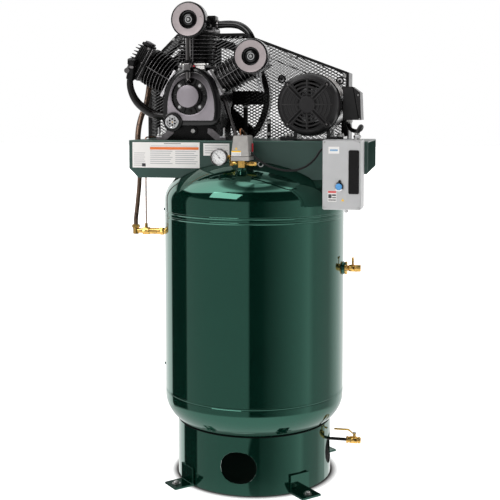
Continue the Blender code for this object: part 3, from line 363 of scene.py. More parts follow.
def make_lens_finish():
    made = bpy.data.materials.new("lens_clear")
    tree = Tree(made)
    tree.set(tree.nodes["Principled BSDF"], {"Base Color": (1, 1, 1, 1), "Roughness": 0.03,
                                             "Alpha": 0.1})
    made.surface_render_method = "BLENDED"
    FINISH["lens_clear"] = (made, "chrome")


make_lens_finish()


# ---------------------------------------------------------------- shapes
def plug(low, radius, high, top=None, crown=None):
    """The profile of a solid round between two heights; it may taper to top and rise to crown."""
    return [(0, low), (radius, low), (top or radius, high), (0, crown or high)]


def ring(inner, outer, low, high):
    """The closed profile of a plain ring."""
    return [(inner, low), (outer, low), (outer, high), (inner, high)]


class Shape:
    """A piece under construction; all that is added takes its current frame and finish."""

    def __init__(self, *finishes, frame=None):
        self.mesh = bmesh.new()
        self.finishes = finishes
        self.frame = frame or Matrix.Identity(4)
        self.slot = 0

    def use(self, name):
        self.slot = self.finishes.index(name)
        return self

    def ring_of(self, points):
        return [self.mesh.verts.new(self.frame @ Vector(point)) for point in points]

    def face(self, *verts):
        try:
            self.mesh.faces.new(verts).material_index = self.slot
        except ValueError:  # a face that is there already, where a profile doubles back
            pass

    def skin(self, rings, bands=None, closed=False):
        """Faces from ring to ring; bands names the finish of a span by its number."""
        kept = self.slot
        for index, (a, b) in enumerate(zip(rings, rings[1:] + (rings[:1] if closed else []))):
            if bands and index in bands:
                self.use(bands[index])
            steps = max(len(a), len(b))
            for i in range(steps if steps > 1 else 0):
                j = (i + 1) % steps
                if len(a) == 1:
                    self.face(a[0], b[j], b[i])
                elif len(b) == 1:
                    self.face(a[i], a[j], b[0])
                else:
                    self.face(a[i], a[j], b[j], b[i])
            self.slot = kept
        return self

    def box(self, low, high, soft=0.0008, turn=None, segments=2):
        low, high = Vector(low), Vector(high)
        spin = turn.to_4x4() if turn else Matrix.Identity(4)
        size = Matrix.Diagonal((*(high - low), 1))
        where = self.frame @ Matrix.Translation((low + high) / 2) @ spin @ size
        verts = bmesh.ops.create_cube(self.mesh, size=1, matrix=where)["verts"]
        for face in {face for vert in verts for face in vert.link_faces}:
            face.material_index = self.slot
        if soft:
            edges = list({edge for vert in verts for edge in vert.link_edges})
            bmesh.ops.bevel(self.mesh, geom=edges, offset=soft, segments=segments, affect="EDGES",
                            profile=0.5, material=-1)
        return self

    def bar(self, centre, half, soft=0.0008, turn=None):
        """A box by its middle and half its size."""
        return self.box(centre - Vector(half), centre + Vector(half), soft, turn)

    def lathe(self, profile, at, axis=UP, steps=48, closed=False, bands=None, phase=0.0):
        """A profile of (radius, height) turned round an axis."""
        facing = Vector(axis).to_track_quat("Z", "Y").to_matrix().to_4x4()
        where = self.frame @ Matrix.Translation(at) @ facing
        rings = []
        for radius, height in profile:
            count = 1 if radius < 1e-6 else steps
            angles = [phase + 2 * math.pi * i / steps for i in range(count)]
            rings.append([self.mesh.verts.new(where @ Vector(
                (radius * math.cos(a), radius * math.sin(a), height))) for a in angles])
        return self.skin(rings, bands, closed)

    def rod(self, start, end, radius, end_radius=None, steps=24, soft=0.0006):
        start, end = Vector(start), Vector(end)
        far = radius if end_radius is None else end_radius
        length = (end - start).length
        profile = [(0, 0), (radius - soft, 0), (radius, soft), (far, length - soft),
                   (far - soft, length), (0, length)]
        return self.lathe(profile, start, end - start, steps)

    def hexagon(self, at, axis, across, height, phase=0.0):
        """A hexagonal nut or bolt head standing on a face, its corners chamfered."""
        r = across / 2 / math.cos(math.pi / 6)
        profile = [(0, 0), (r, 0), (r, height * 0.82), (r * 0.86, height), (0, height)]
        return self.lathe(profile, at, axis, 6, phase=phase)

    def bolt(self, at, axis, across=0.013, height=0.008, washer=0.0014):
        """A washer and a bolt head on a face."""
        at, axis = Vector(at), Vector(axis).normalized()
        self.lathe(plug(0, across * 0.72, washer), at, axis, 20)
        return self.hexagon(at + axis * washer, axis, across, height)

    def tube(self, points, radius, steps=16, wave=0.0):
        """A round tube along points; wave is how far every other ring stands out."""
        points = [Vector(point) for point in points]
        rings, side = [], None
        for index, point in enumerate(points):
            ahead = points[min(index + 1, len(points) - 1)] - points[max(index - 1, 0)]
            ahead.normalize()
            if side is None:
                side = ahead.orthogonal().normalized()
            side = (side - ahead * side.dot(ahead)).normalized()
            up = ahead.cross(side)
            r = radius[index] if isinstance(radius, list) else radius
            r += wave if index % 2 else 0.0
            angles = [2 * math.pi * i / steps for i in range(steps)]
            rings.append(self.ring_of(
                point + side * r * math.cos(a) + up * r * math.sin(a) for a in angles))
        self.skin(rings)
        self.face(*rings[0][::-1])
        self.face(*rings[-1])
        return self

    def panel(self, outlines, low_y, high_y):
        """Outlines in X and Z with holes, filled and given depth along Y."""
        curve = bpy.data.curves.new("draft", "CURVE")
        curve.dimensions, curve.fill_mode, curve.extrude = "2D", "BOTH", (high_y - low_y) / 2
        for outline in outlines:
            spline = curve.splines.new("POLY")
            spline.points.add(len(outline) - 1)
            for point, (x, z) in zip(spline.points, outline):
                point.co = (x, z, 0, 1)
            spline.use_cyclic_u = True
        draft = placed("draft", curve)
        bpy.context.view_layer.update()
        filled = draft.evaluated_get(bpy.context.evaluated_depsgraph_get())
        made = bpy.data.meshes.new_from_object(filled)
        bpy.data.objects.remove(draft)
        made.transform(self.frame @ Matrix.Translation((0, (low_y + high_y) / 2, 0))
                       @ Matrix.Rotation(math.radians(90), 4, "X"))
        before = len(self.mesh.faces)
        self.mesh.from_mesh(made)
        self.mesh.faces.ensure_lookup_table()
        for face in self.mesh.faces[before:]:
            face.material_index = self.slot
        bpy.data.meshes.remove(made)
        return self

    def done(self, name, body="frame", nodes=(), angle=35, merge=0.0):
        if merge:
            bmesh.ops.remove_doubles(self.mesh, verts=self.mesh.verts, dist=merge)
        bmesh.ops.recalc_face_normals(self.mesh, faces=self.mesh.faces)
        data = bpy.data.meshes.new(name)
        self.mesh.to_mesh(data)
        self.mesh.free()
        data.shade_smooth()
        data.set_sharp_from_angle(angle=math.radians(angle))
        for entry in self.finishes:
            data.materials.append(FINISH[entry][0])
        piece = placed(name, data)
        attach(piece, body)
        if nodes:
            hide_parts(*nodes)
        return piece


def refined(node, look, soft=0.0008, angle=32):
    """The node's own shape with its facets smoothed and its edges eased."""
    data = NODES[node].data.copy()
    shape = bmesh.new()
    shape.from_mesh(data)
    bmesh.ops.remove_doubles(shape, verts=shape.verts, dist=0.00002)
    bmesh.ops.dissolve_limit(shape, angle_limit=math.radians(1.0), verts=shape.verts,
                             edges=shape.edges)
    bmesh.ops.recalc_face_normals(shape, faces=shape.faces)
    for face in shape.faces:
        face.material_index = 0
    shape.to_mesh(data)
    shape.free()
    data.shade_smooth()
    data.set_sharp_from_angle(angle=math.radians(angle))
    data.materials.clear()
    data.materials.append(FINISH[look][0])
    piece = placed(node + "_skin", data)
    if soft:
        ease = piece.modifiers.new("ease", "BEVEL")
        ease.width, ease.segments, ease.limit_method = soft, 2, "ANGLE"
        ease.angle_limit = math.radians(angle)
        ease.use_clamp_overlap = True
        ease.harden_normals = True
    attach(piece, NODES[node]["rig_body"])
    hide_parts(node)
    return piece


def flowing(points, per_span=4):
    """A smooth Catmull-Rom curve through the points; its end spans are straight."""
    knots = [Vector(p) for p in points]
    out = [knots[0]]
    for a, b, c, d in zip(knots, knots[1:], knots[2:], knots[3:]):
        for step in range(per_span):
            t = step / per_span
            out.append(0.5 * (2 * b + (c - a) * t + (2 * a - 5 * b + 4 * c - d) * t**2
                              + (3 * b - a - 3 * c + d) * t**3))
    return out + knots[-2:]


def circle(centre, radius, sides=32, first=0.0, last=360.0):
    """Points in X and Z round a centre, or along an arc of it."""
    count = sides if abs(last - first) >= 360 else sides + 1
    angles = [math.radians(first + (last - first) * i / sides) for i in range(count)]
    return [(centre.x + radius * math.cos(a), centre.z + radius * math.sin(a)) for a in angles]


def band(centre, inner, outer, sides, first, last):
    """The outline of an arc with a width."""
    return (circle(centre, outer, sides, first, last)
            + circle(centre, inner, sides, first, last)[::-1])


def strips(shape, front, thick, rows):
    """Blank printing: rows of finish, X span, Z span and how far it stands out of the front."""
    for look, x0, x1, z0, z1, lift in rows:
        shape.use(look).box(P(x0, front - lift, z0), P(x1, front - lift + thick, z1), 0)


def middle(low, high):
    return (low + high) / 2


# ---------------------------------------------------------------- the cord
def make_lead():
    radius = 0.0045
    route = [(0.0434, -0.29, 1.372), (0.051, -0.29, 1.3715), (0.068, -0.296, 1.356),
             (0.1, -0.303, 1.334), (0.14, -0.309, 1.318), (0.185, -0.311, 1.309),
             (0.225, -0.309, 1.31), (0.265, -0.3, 1.324), (0.297, -0.285, 1.352),
             (0.314, -0.272, 1.38), (0.325, -0.266, 1.392), (0.3336, -0.266, 1.392)]
    path = flowing([P(*point) for point in route], 2)
    lead = Shape("lead_jacket").tube(path, radius, 14).done("lead", nodes=("switch_lead",))
    grips = Shape("rubber_matt")
    grips.lathe([(0, 0), (0.009, 0), (0.009, 0.004), (0.0062, 0.0085), (0.0052, 0.012), (0, 0.012)],
                path[0] - Vector((0.0002, 0, 0)), RIGHT, 20)
    grips.lathe([(0, 0), (0.009, 0), (0.009, 0.004), (0.0062, 0.007), (0, 0.007)], path[-1], LEFT,
                20)
    grips.done("lead_grips")


make_lead()


# ---------------------------------------------------------------- tank, skirt and feet
def make_tank():
    r = TANK_R - 0.0003
    arc = [math.pi / 2 * i / 26 for i in range(27)]
    bead = ((0, 0.005), (-0.0011, 0.0034), (0.0002, 0.0006), (0.0002, -0.0006), (-0.0011, -0.0034),
            (0, -0.005))
    profile = [(r * math.sin(a), DOME_HIGH + DOME_RISE * math.cos(a)) for a in arc]
    for z in (1.1215, 1.1025, 0.3675):
        profile += [(r + out, z + up) for out, up in bead]
    profile += [(r * math.sin(a), DOME_LOW - DOME_RISE * math.cos(a)) for a in arc[::-1]]
    tank = Shape("enamel").lathe(profile, P(0, 0, 0), steps=160)
    for at, axis, radius, height, bore, fillet in (
            (P(-TANK_R, 0, 1.019), LEFT, 0.02, 0.01, 0.0168, 0.006),
            (P(TANK_R, 0, 0.883), RIGHT, 0.025, 0.008, 0.0108, 0.006),
            (P(0.005, -0.27, 1.3005), UP, 0.0225, 0.0155, 0.008, 0.008)):
        tank.lathe([(0, -0.012), (radius + fillet, -0.012), (radius + fillet * 0.5, 0.0012),
                    (radius + 0.0008, 0.004), (radius, 0.0055), (radius, height - 0.001),
                    (radius - 0.001, height), (bore, height), (bore, height - 0.012),
                    (0, height - 0.012)], at, axis, 40)
    tank.done("tank", nodes=("tank_shell",), angle=30)
    studs = Shape("enamel")
    way = Vector((-0.98, -0.2, 0))
    for z in (1.124, 0.457):
        studs.rod(P(0, 0, z) + way * (TANK_R - 0.004), P(0, 0, z) + way * (TANK_R + 0.0065), 0.0062,
                  steps=20, soft=0.002)
    studs.done("tank_studs")


def make_base():
    skirt = refined("base_skirt", "enamel", soft=0.0012, angle=30)
    # Painted shade: the skirt's inner faces take near-black in place of the shade inside it.
    skirt.data.materials.append(FINISH["painted_shadow_black"][0])
    for face in skirt.data.polygons:
        outward = Vector((face.center.x - AXIS_X, face.center.y, 0)).normalized()
        if outward.dot(face.normal) < -0.5:
            face.material_index = 1
    for corner in ("front_left", "front_right", "rear_left", "rear_right"):
        refined("foot_" + corner, "enamel", 0.0012)
    bolts = Shape("zinc")
    for angle in (-135, -45, 45, 135):
        a = math.radians(angle)
        at = P(0.386 * math.cos(a), 0.386 * math.sin(a), 0.0082)
        bolts.lathe(plug(0, 0.0175, 0.0024), at, UP, 28)
        bolts.hexagon(at + Vector((0, 0, 0.0024)), UP, 0.019, 0.0075, phase=0.4)
        bolts.rod(at + Vector((0, 0, 0.009)), at + Vector((0, 0, 0.0125)), 0.0055, steps=16)
    bolts.done("foot_bolts")
    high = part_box("base_skirt")[1]
    edge = high.y - 0.0002
    # Painted shadow: a near-black ring where the tank meets the skirt.
    shadow_ring = Shape("painted_shadow_black")
    shadow_ring.lathe(ring(edge - 0.004, edge + 0.0006, high.z - 0.003, high.z + 0.0006), P(0, 0, 0),
               steps=120, closed=True)
    shadow_ring.done("skirt_painted_shadow_ring")


make_tank()
make_base()


# ---------------------------------------------------------------- platform and its labels
def make_platform():
    refined("platform", "deck_satin", soft=0.0016, angle=30)
    front, high = DECK_LOW.y, DECK_HIGH.z
    # Painted highlight: a lighter strip along the deck's front top edge.
    edge = Shape("deck_painted_edge_highlight")
    edge.box((DECK_LOW.x + 0.001, front - 0.0004, high - 0.0036),
             (DECK_HIGH.x - 0.001, front + 0.002, high - 0.0004), 0.0004)
    edge.done("platform_painted_edge_highlight")
    sheet, ink = 0.0005, 0.0007
    rows = [("label_white", -0.4812, -0.1926, 1.3062, 1.412, sheet),
            ("label_orange", -0.405, -0.1965, 1.3815, 1.3925, ink),
            ("label_dark", -0.345, -0.272, 1.405, 1.4075, ink),
            ("label_grey", -0.4, -0.202, 1.396, 1.3978, ink)]
    for index in range(7):
        z = 1.374 - 0.0085 * index
        rows += [("label_grey", -0.404, -0.308 - 0.006 * (index % 3), z, z + 0.0026, ink),
                 ("label_grey", -0.296, -0.201 - 0.007 * ((index + 1) % 3), z, z + 0.0026, ink),
                 ("label_grey", -0.474, -0.426 - 0.004 * (index % 2), z - 0.008, z - 0.0058, ink)]
    rows += [("label_dark", -0.44, -0.424, 1.311, 1.324, ink),
             ("label_white", -0.1763, -0.0668, 1.3585, 1.4085, sheet)]
    for index in range(4):
        z = 1.3985 - 0.0098 * index
        rows.append(("label_grey", -0.17, -0.074 - 0.012 * (index % 2), z, z + 0.002, ink))
    label = Shape("label_white", "label_orange", "label_grey", "label_dark")
    strips(label, front, 0.0004, rows)
    label.done("platform_labels")
    bolts = Shape("zinc")
    for x in (-0.15, 0.15):
        for y in (-0.105, 0.105):
            bolts.bolt(P(CRANK.x - AXIS_X + x * 0.9, y, high + 0.0154), UP, 0.016, 0.009, 0.002)
    for side in (-1, 1):
        for y in (0.02, 0.11):
            bolts.bolt(P(MOTOR.x - AXIS_X + side * 0.112, y, high + 0.0142), UP, 0.016, 0.01, 0.002)
    bolts.done("deck_bolts")


make_platform()


# ---------------------------------------------------------------- pump
FLANGE_IN, FIRST_FIN, FIN_START, DECK_STATION = 0.12, 0.142, 0.158, 0.272
CYLINDERS = {  # name: (lean, Y, bore radius, fin radius, head end station)
    "left": (-60.0, 0.05, 0.05, 0.082, 0.35),
    "centre": (0.0, -0.025, 0.052, 0.086, 0.337),
    "right": (60.0, -0.075, 0.04, 0.066, 0.352),
}


def cylinder_frame(name):
    """Local X lies across (lower side), Y towards the back, Z out along the cylinder."""
    lean, y = CYLINDERS[name][:2]
    a = math.radians(lean)
    side = -1 if lean < 0 else 1
    out = Vector((math.sin(a), 0, math.cos(a)))
    down = Vector((math.cos(a) * side, 0, -math.sin(a) * side))
    turn = Matrix((down, (0, 1, 0), out)).transposed().to_4x4()
    return Matrix.Translation((CRANK.x, y, CRANK.z)) @ turn


def make_cylinder(name):
    bore, fins = CYLINDERS[name][2:4]
    place = cylinder_frame(name)
    inner, core, flange = bore + 0.0006, bore + 0.011, bore + 0.015
    top, count = DECK_STATION - 0.0004, 8
    pitch = (top - 0.008 - 0.14) / count
    profile = [(inner, FLANGE_IN + 0.001), (flange, FLANGE_IN + 0.001), (flange, FLANGE_IN + 0.013),
               (core, FLANGE_IN + 0.014)]
    rims = {}
    for index in range(count):
        z = FIRST_FIN + index * pitch
        reach = fins if z > FIN_START - 0.004 else fins - 0.012
        # Each fin's outer rim takes the painted highlight.
        rims[len(profile) + 2] = "cast_painted_highlight"
        profile += [(core, z), (reach - 0.0006, z + 0.001), (reach, z + 0.0016),
                    (reach, z + 0.0028), (reach - 0.0006, z + 0.0034), (core, z + 0.0048)]
    profile += [(core, top - 0.01), (fins - 0.002, top - 0.009), (fins - 0.001, top - 0.001),
                (fins - 0.002, top), (inner, top)]
    barrel = Shape("cast_black", "cast_painted_highlight", frame=place)
    barrel.lathe(profile, ORIGIN, steps=72, closed=True, bands=rims)
    # Painted highlight: a thin upright strip down the front of the fins.
    barrel.use("cast_painted_highlight").box((-0.001, -fins + 0.0001, FIRST_FIN), (0.001, -core, top - 0.01), 0)
    half = bore + 0.0155
    wide, low, high = half * math.sqrt(2), FLANGE_IN + 0.0015, FLANGE_IN + 0.0105
    square_bore = inner * math.sqrt(2)
    square = [(square_bore, low), (wide - 0.001, low), (wide, low + 0.001), (wide, high - 0.001),
              (wide - 0.001, high), (square_bore, high)]
    barrel.lathe(square, ORIGIN, steps=4, closed=True, phase=math.pi / 4)
    barrel.done("barrel_" + name, nodes=("cylinder_" + name,))
    bolts = Shape("zinc", frame=place)
    for side in (-1, 1):
        for back in (-1, 1):
            bolts.bolt((side * (half - 0.009), back * (half - 0.009), high), UP, 0.011, 0.007)
    bolts.done("barrel_bolts_" + name)


def make_head(name):
    fins, end = CYLINDERS[name][3:]
    place = cylinder_frame(name)
    half = fins - 0.0065
    inner, base, ledge = half - 0.007, DECK_STATION + 0.0006, end - 0.024
    head = Shape("cast_black", "cast_painted_highlight", frame=place)

    def slab(look, reach, low, high, soft, segments=2):
        head.use(look).box((-reach, -reach, low), (reach, reach, high), soft, segments=segments)

    # The two thin layers below take the painted highlight, as do the fin tops further down.
    slab("cast_painted_highlight", half, base, base + 0.0022, 0.0004)
    slab("cast_black", half, base + 0.0022, base + 0.015, 0.0035, 3)
    slab("cast_painted_highlight", half - 0.003, base + 0.015, base + 0.0168, 0.0003)
    slab("cast_black", inner, base + 0.0168, end - 0.018, 0.005, 3)
    count = 9 if half > 0.07 else 7
    if name == "left":
        head.box((0.004, -inner, ledge), (inner, inner, end - 0.0075), 0.004, segments=3)
    for index in range(count):
        x = -inner + 0.006 + index * (2 * inner - 0.012) / (count - 1)
        if name == "left" and x > 0:
            continue
        reach = end - 0.0005 if 0 < index < count - 1 else end - 0.005
        head.use("cast_black").box((x - 0.0016, -inner + 0.002, ledge),
                                   (x + 0.0016, inner - 0.002, reach - 0.0012), 0.0006)
        # Painted highlight along each fin's top edge.
        head.use("cast_painted_highlight").box((x - 0.0012, -inner + 0.002, reach - 0.0014),
                                 (x + 0.0012, inner - 0.002, reach), 0)
    head.use("cast_black")
    for back in (-1, 1):
        for index in range(4):
            z = base + 0.022 + 0.0085 * index
            if z < ledge:
                head.box((-inner + 0.004, back * inner - 0.0035, z),
                         (inner - 0.004, back * inner + 0.0035, z + 0.003), 0.0005)
    head.done("head_block_" + name, nodes=("head_" + name,))
    bolts = Shape("dark_chrome", frame=place)
    for x, y in ((-1, -1), (1, -1), (-1, 1), (1, 1), (0, -1), (0, 1)):
        bolts.bolt((x * (half - 0.0095), y * (half - 0.0095), base + 0.0168), UP, 0.012, 0.009)
    bolts.done("head_bolts_" + name)


def make_filter(name, x, z, back, radius):
    front, body = 0.203, 0.151
    at = P(x, 0, z)
    stud = P(x, 0.0086 - front, z)
    rim = [(0.03, 0.014), (radius * 0.47, 0.012), (radius * 0.505, 0.003), (radius * 0.52, 0.0008),
           (radius * 0.905, 0.0004), (radius * 0.925, 0), (radius * 0.945, 0.0006),
           (radius * 0.955, 0.0026), (radius * 0.99, 0.0034), (radius, 0.008), (radius, 0.011),
           (radius - 0.0016, 0.012), (radius - 0.0016, 0.0136), (radius, 0.0146)]
    pot = [(radius, body + 0.006), (radius - 0.004, body), (0.02, body - 0.002),
           (0.016, body - 0.003), (0.016, -back), (0.011, -back), (0.011, body + 0.01),
           (0.03, body + 0.01)]
    disc = Shape("filter_face", "gloss_black", "plated", "zinc", "painted_shadow_black")
    disc.use("gloss_black").lathe([(r, front - depth) for r, depth in rim] + pot, at, FRONT, 96,
                                  closed=True, bands={3: "filter_face"})
    # Painted shade: a near-black disc in the central recess.
    disc.use("painted_shadow_black").lathe(plug(front - 0.016, 0.032, front - 0.0135), at, FRONT)
    disc.use("gloss_black").lathe([(r, front - depth) for r, depth in (
        (0, 0.0136), (0.0235, 0.0136), (0.0225, 0.0105), (0.0175, 0.0085), (0, 0.0085))], at, FRONT)
    disc.use("plated").lathe([(r, front - depth) for r, depth in (
        (0.0105, 0.0086), (0.015, 0.0086), (0.0143, 0.0068), (0.0112, 0.0068))], at, FRONT,
        closed=True)
    disc.use("zinc").hexagon(stud, FRONT, 0.0125, 0.0065, phase=0.3)
    disc.use("plated").rod(stud, P(x, -front, z), 0.0032, steps=16)
    disc.done("intake_" + name, nodes=("filter_" + name,), angle=40)


def inset(outline, amount):
    """A convex outline moved inward by an amount."""
    out, count = [], len(outline)
    for index in range(count):
        a, b, c = (Vector(outline[(index + k) % count]) for k in (-1, 0, 1))
        first = Vector((-(b - a).y, (b - a).x)).normalized()
        second = Vector((-(c - b).y, (c - b).x)).normalized()
        normal = (first + second).normalized()
        out.append(tuple(b + normal * amount / max(0.5, normal.dot(first))))
    return out


def make_cover():
    """The arched front cover: a dark rolled border with a painted highlight on its inner lip, a
    satin face painted darker towards its top as shade, and a deep bearing recess.
    """
    front, back = (corner.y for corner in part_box("front_cover"))
    half = [(0.088, -0.122), (0.106, -0.117), (0.117, -0.103), (0.1215, -0.085), (0.1235, -0.06),
            (0.1228, -0.04), (0.1215, -0.02), (0.118, 0), (0.1135, 0.02), (0.1068, 0.04),
            (0.0985, 0.06), (0.089, 0.076), (0.077, 0.09), (0.065, 0.101), (0.051, 0.11),
            (0.037, 0.1165), (0.023, 0.1205), (0.008, 0.1215)]
    centre = CRANK.x + 0.006
    outline = ([(centre + x, CRANK.z + z) for x, z in half]
               + [(centre - x, CRANK.z + z) for x, z in half[::-1]])
    steps = [(0.001, back), (0.0, back - 0.002), (0.0, front + 0.013), (0.0024, front + 0.007),
             (0.0085, front + 0.0026), (0.018, front + 0.0008), (0.0225, front + 0.0006),
             (0.024, front)]
    cover = Shape("cover_face", "gloss_black", "cast_painted_highlight")
    rings = [cover.ring_of((x, y, z) for x, z in inset(outline, amount)) for amount, y in steps]
    # Spans 0 to 5 are the black border; span 6, its inner lip, carries the painted highlight.
    cover.skin(rings, {**{span: "gloss_black" for span in range(6)}, 6: "cast_painted_highlight"})
    cover.face(*rings[0][::-1])
    cover.panel([inset(outline, 0.024), circle(CRANK, 0.0765, 72)], front, front + 0.0004)
    hub = Vector((CRANK.x, front, CRANK.z))
    cover.use("gloss_black").lathe([(0.0765, 0), (0.075, -0.002), (0.074, -0.0128), (0.03, -0.0128),
                                    (0.03, -0.016), (0.079, -0.016), (0.079, -0.001)], hub, FRONT,
                                   72, closed=True)
    cover.use("cover_face").lathe([(0.0765, 0.0002), (0.08, 0.0016), (0.083, 0.0016),
                                   (0.085, 0.0002)], hub, FRONT, 72)
    cover.done("case_cover", nodes=("front_cover",), angle=28)
    ribs = Shape("satin_black", "plated", "dark_chrome")
    floor = front + 0.0128
    for index in range(8):
        degrees = 22.5 + 45 * index
        turn = Matrix.Rotation(-math.radians(degrees), 3, "Y")
        ribs.bar(around(CRANK, 0.0605, degrees, floor - 0.003), (0.0125, 0.003, 0.0022), 0.0008,
                 turn)
    for index in range(8):
        at = around(CRANK, 0.0612, 45 * index, floor)
        if index % 2:
            ribs.use("dark_chrome").lathe(plug(0, 0.0105, 0.003, 0.01), at, FRONT, 24)
            ribs.use("plated").hexagon(at + Vector((0, -0.003, 0)), FRONT, 0.0125, 0.006,
                                       phase=math.radians(45 * index))
        elif index != 2:
            ribs.use("satin_black").lathe([(0, 0), (0.0085, 0), (0.008, 0.004), (0.005, 0.005),
                                           (0, 0.005)], at, FRONT, 24)
    ribs.done("recess_bolts")
    cap = Shape("cap_face", "satin_black")
    hub = Vector((CRANK.x, 0, CRANK.z))
    cap.lathe([(0, 0.195), (0.0425, 0.195), (0.045, 0.1938), (0.0462, 0.1915)], hub, FRONT, 80)
    cap.use("satin_black").lathe([(0.0462, 0.1915), (0.0466, 0.166), (0.0495, 0.164),
                                  (0.05, 0.1524), (0.032, 0.1524), (0.032, 0.18), (0, 0.18)], hub,
                                 FRONT, 80)
    cap.done("bearing_disc", nodes=("bearing_cap",), angle=40, merge=0.00001)


def make_sight_glass():
    low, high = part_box("sight_glass")
    x, z, base = middle(low.x, high.x), middle(low.z, high.z), high.y
    at = Vector((x, base, z))
    glass = Shape("plated", "gloss_black", "painted_shadow_black", "brass_turned")
    glass.use("gloss_black").lathe([(0, 0), (0.04, 0), (0.04, 0.005), (0.037, 0.0085),
                                    (0.03, 0.0092), (0.029, 0.006), (0, 0.006)], at, FRONT, 56)
    glass.use("plated").lathe([(0, 0.006), (0.0288, 0.006), (0.0288, 0.014), (0.027, 0.0165),
                               (0.0225, 0.0165), (0.0215, 0.012), (0, 0.012)], at, FRONT, 56)
    # Painted shade: near-black spots in a star round the middle stand for dark holes.
    glass.use("painted_shadow_black")
    for index in range(6):
        for radius, shift, size, steps in ((0.0125, 0, 0.0042, 20), (0.019, 0.52, 0.0022, 16)):
            a = math.pi / 3 * index + shift
            spot = Vector((x + radius * math.sin(a), base, z + radius * math.cos(a)))
            glass.lathe(plug(0.0115, size, 0.0124), spot, FRONT, steps)
    glass.use("brass_turned").lathe(plug(0.0118, 0.0032, 0.0138, 0.0024, 0.0142), at, FRONT, 20)
    glass.done("oil_glass", nodes=("sight_glass",))


def make_case():
    refined("crankcase", "cast_black", soft=0.002, angle=35)
    base, front = DECK_HIGH.z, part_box("crankcase")[0].y
    feet = Shape("foot_grey", "cast_painted_sheen", "plated", "zinc")
    knee, heel, tip = 0.074, 0.118, 0.149
    leg = [(knee, 0.05), (knee + 0.02, 0.046), (heel + 0.01, 0.015), (tip, 0.013), (tip, 0.001),
           (heel - 0.012, 0.001), (knee - 0.002, 0.03)]
    for side in (-1, 1):
        feet.use("foot_grey").panel([[(CRANK.x + side * x, base + z) for x, z in leg]],
                                    front - 0.012, front + 0.002)
        pad = CRANK.x + side * (heel + 0.018)
        # Painted sheen: a near-white pad on each foot.
        feet.use("cast_painted_sheen").box((pad - 0.012, front - 0.013, base + 0.0125),
                                   (pad + 0.012, front + 0.004, base + 0.0155), 0.0006)
        stud = Vector((CRANK.x + side * (heel + 0.022), front - 0.002, base + 0.015))
        feet.use("plated").rod(stud, stud + Vector((0, 0, 0.036)), 0.0044, steps=16)
        feet.use("zinc").bolt(stud, UP)
    feet.done("case_feet", angle=30)
    drain = Shape("zinc", "cast_black")
    at = Vector((CRANK.x + 0.011, front - 0.001, 1.4585))
    drain.use("cast_black").lathe(plug(0, 0.0175, 0.006, 0.0165), at, FRONT, 28)
    drain.use("zinc").hexagon(at + Vector((0, -0.006, 0)), FRONT, 0.018, 0.009, phase=0.4)
    drain.done("oil_plug")
    ledges = Shape("cast_grey", "cast_painted_sheen")
    for name, low, high in (("left", -0.06, 0.066), ("right", -0.058, 0.06)):
        ledges.frame = cylinder_frame(name)
        y = front - CYLINDERS[name][1]
        ledges.use("cast_grey").box((low, y + 0.004, 0.1065), (high, y + 0.03, 0.1195), 0.002)
        # Painted sheen: a near-white strip along each shoulder.
        ledges.use("cast_painted_sheen").box((low + 0.002, y + 0.0025, 0.1085),
                                     (high - 0.002, y + 0.029, 0.1203), 0.0012)
    ledges.done("case_shoulders")
    neck = Shape("zinc", "dark_chrome", "red_mould", "label_white", "cast_black")
    x, y = CRANK.x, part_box("breather_pipe")[0].y + 0.011
    for look, low, high, soft in (
            ("dark_chrome", (-0.014, -0.014, 1.706), (0.014, 0.016, 1.735), 0.002),
            ("zinc", (-0.028, 0.01, 1.708), (-0.014, 0.03, 1.734), 0.002),
            ("label_white", (0.018, 0.026, 1.729), (0.066, 0.04, 1.7365), 0.0012),
            ("label_white", (0.026, 0.024, 1.712), (0.062, 0.04, 1.727), 0.003)):
        neck.use(look).box(Vector((x, y, 0)) + Vector(low), Vector((x, y, 0)) + Vector(high), soft)
    for look, low, high, radius in (("cast_black", 1.7, 1.708, 0.0155),
                                    ("cast_black", 1.735, 1.748, 0.014),
                                    ("dark_chrome", 1.676, 1.7, 0.0135)):
        neck.use(look).rod((x, y, low), (x, y, high), radius)
    neck.use("red_mould").rod((x + 0.0205, y + 0.024, 1.725), (x + 0.0205, y + 0.01, 1.725), 0.0034,
                              steps=20)
    neck.done("breather_fitting")


def make_left_hose():
    turned = cylinder_frame("left")
    path = flowing([turned @ Vector((0.0765, -0.07, 0.3)), turned @ Vector((0.09, -0.07, 0.3))] + [
        P(*point) for point in ((-0.5425, -0.02, 1.64), (-0.531, -0.018, 1.606),
                                (-0.511, -0.014, 1.575), (-0.48, -0.008, 1.548),
                                (-0.445, -0.002, 1.528), (-0.405, 0, 1.5205), (-0.366, 0, 1.52),
                                (-0.3485, 0, 1.52))], 6)
    thick = [0.0138 + 0.0047 * min(1.0, i / (0.6 * len(path))) for i in range(len(path))]
    Shape("hose_black").tube(path, thick, 24).done("hose_left", nodes=("head_hose",), angle=60)


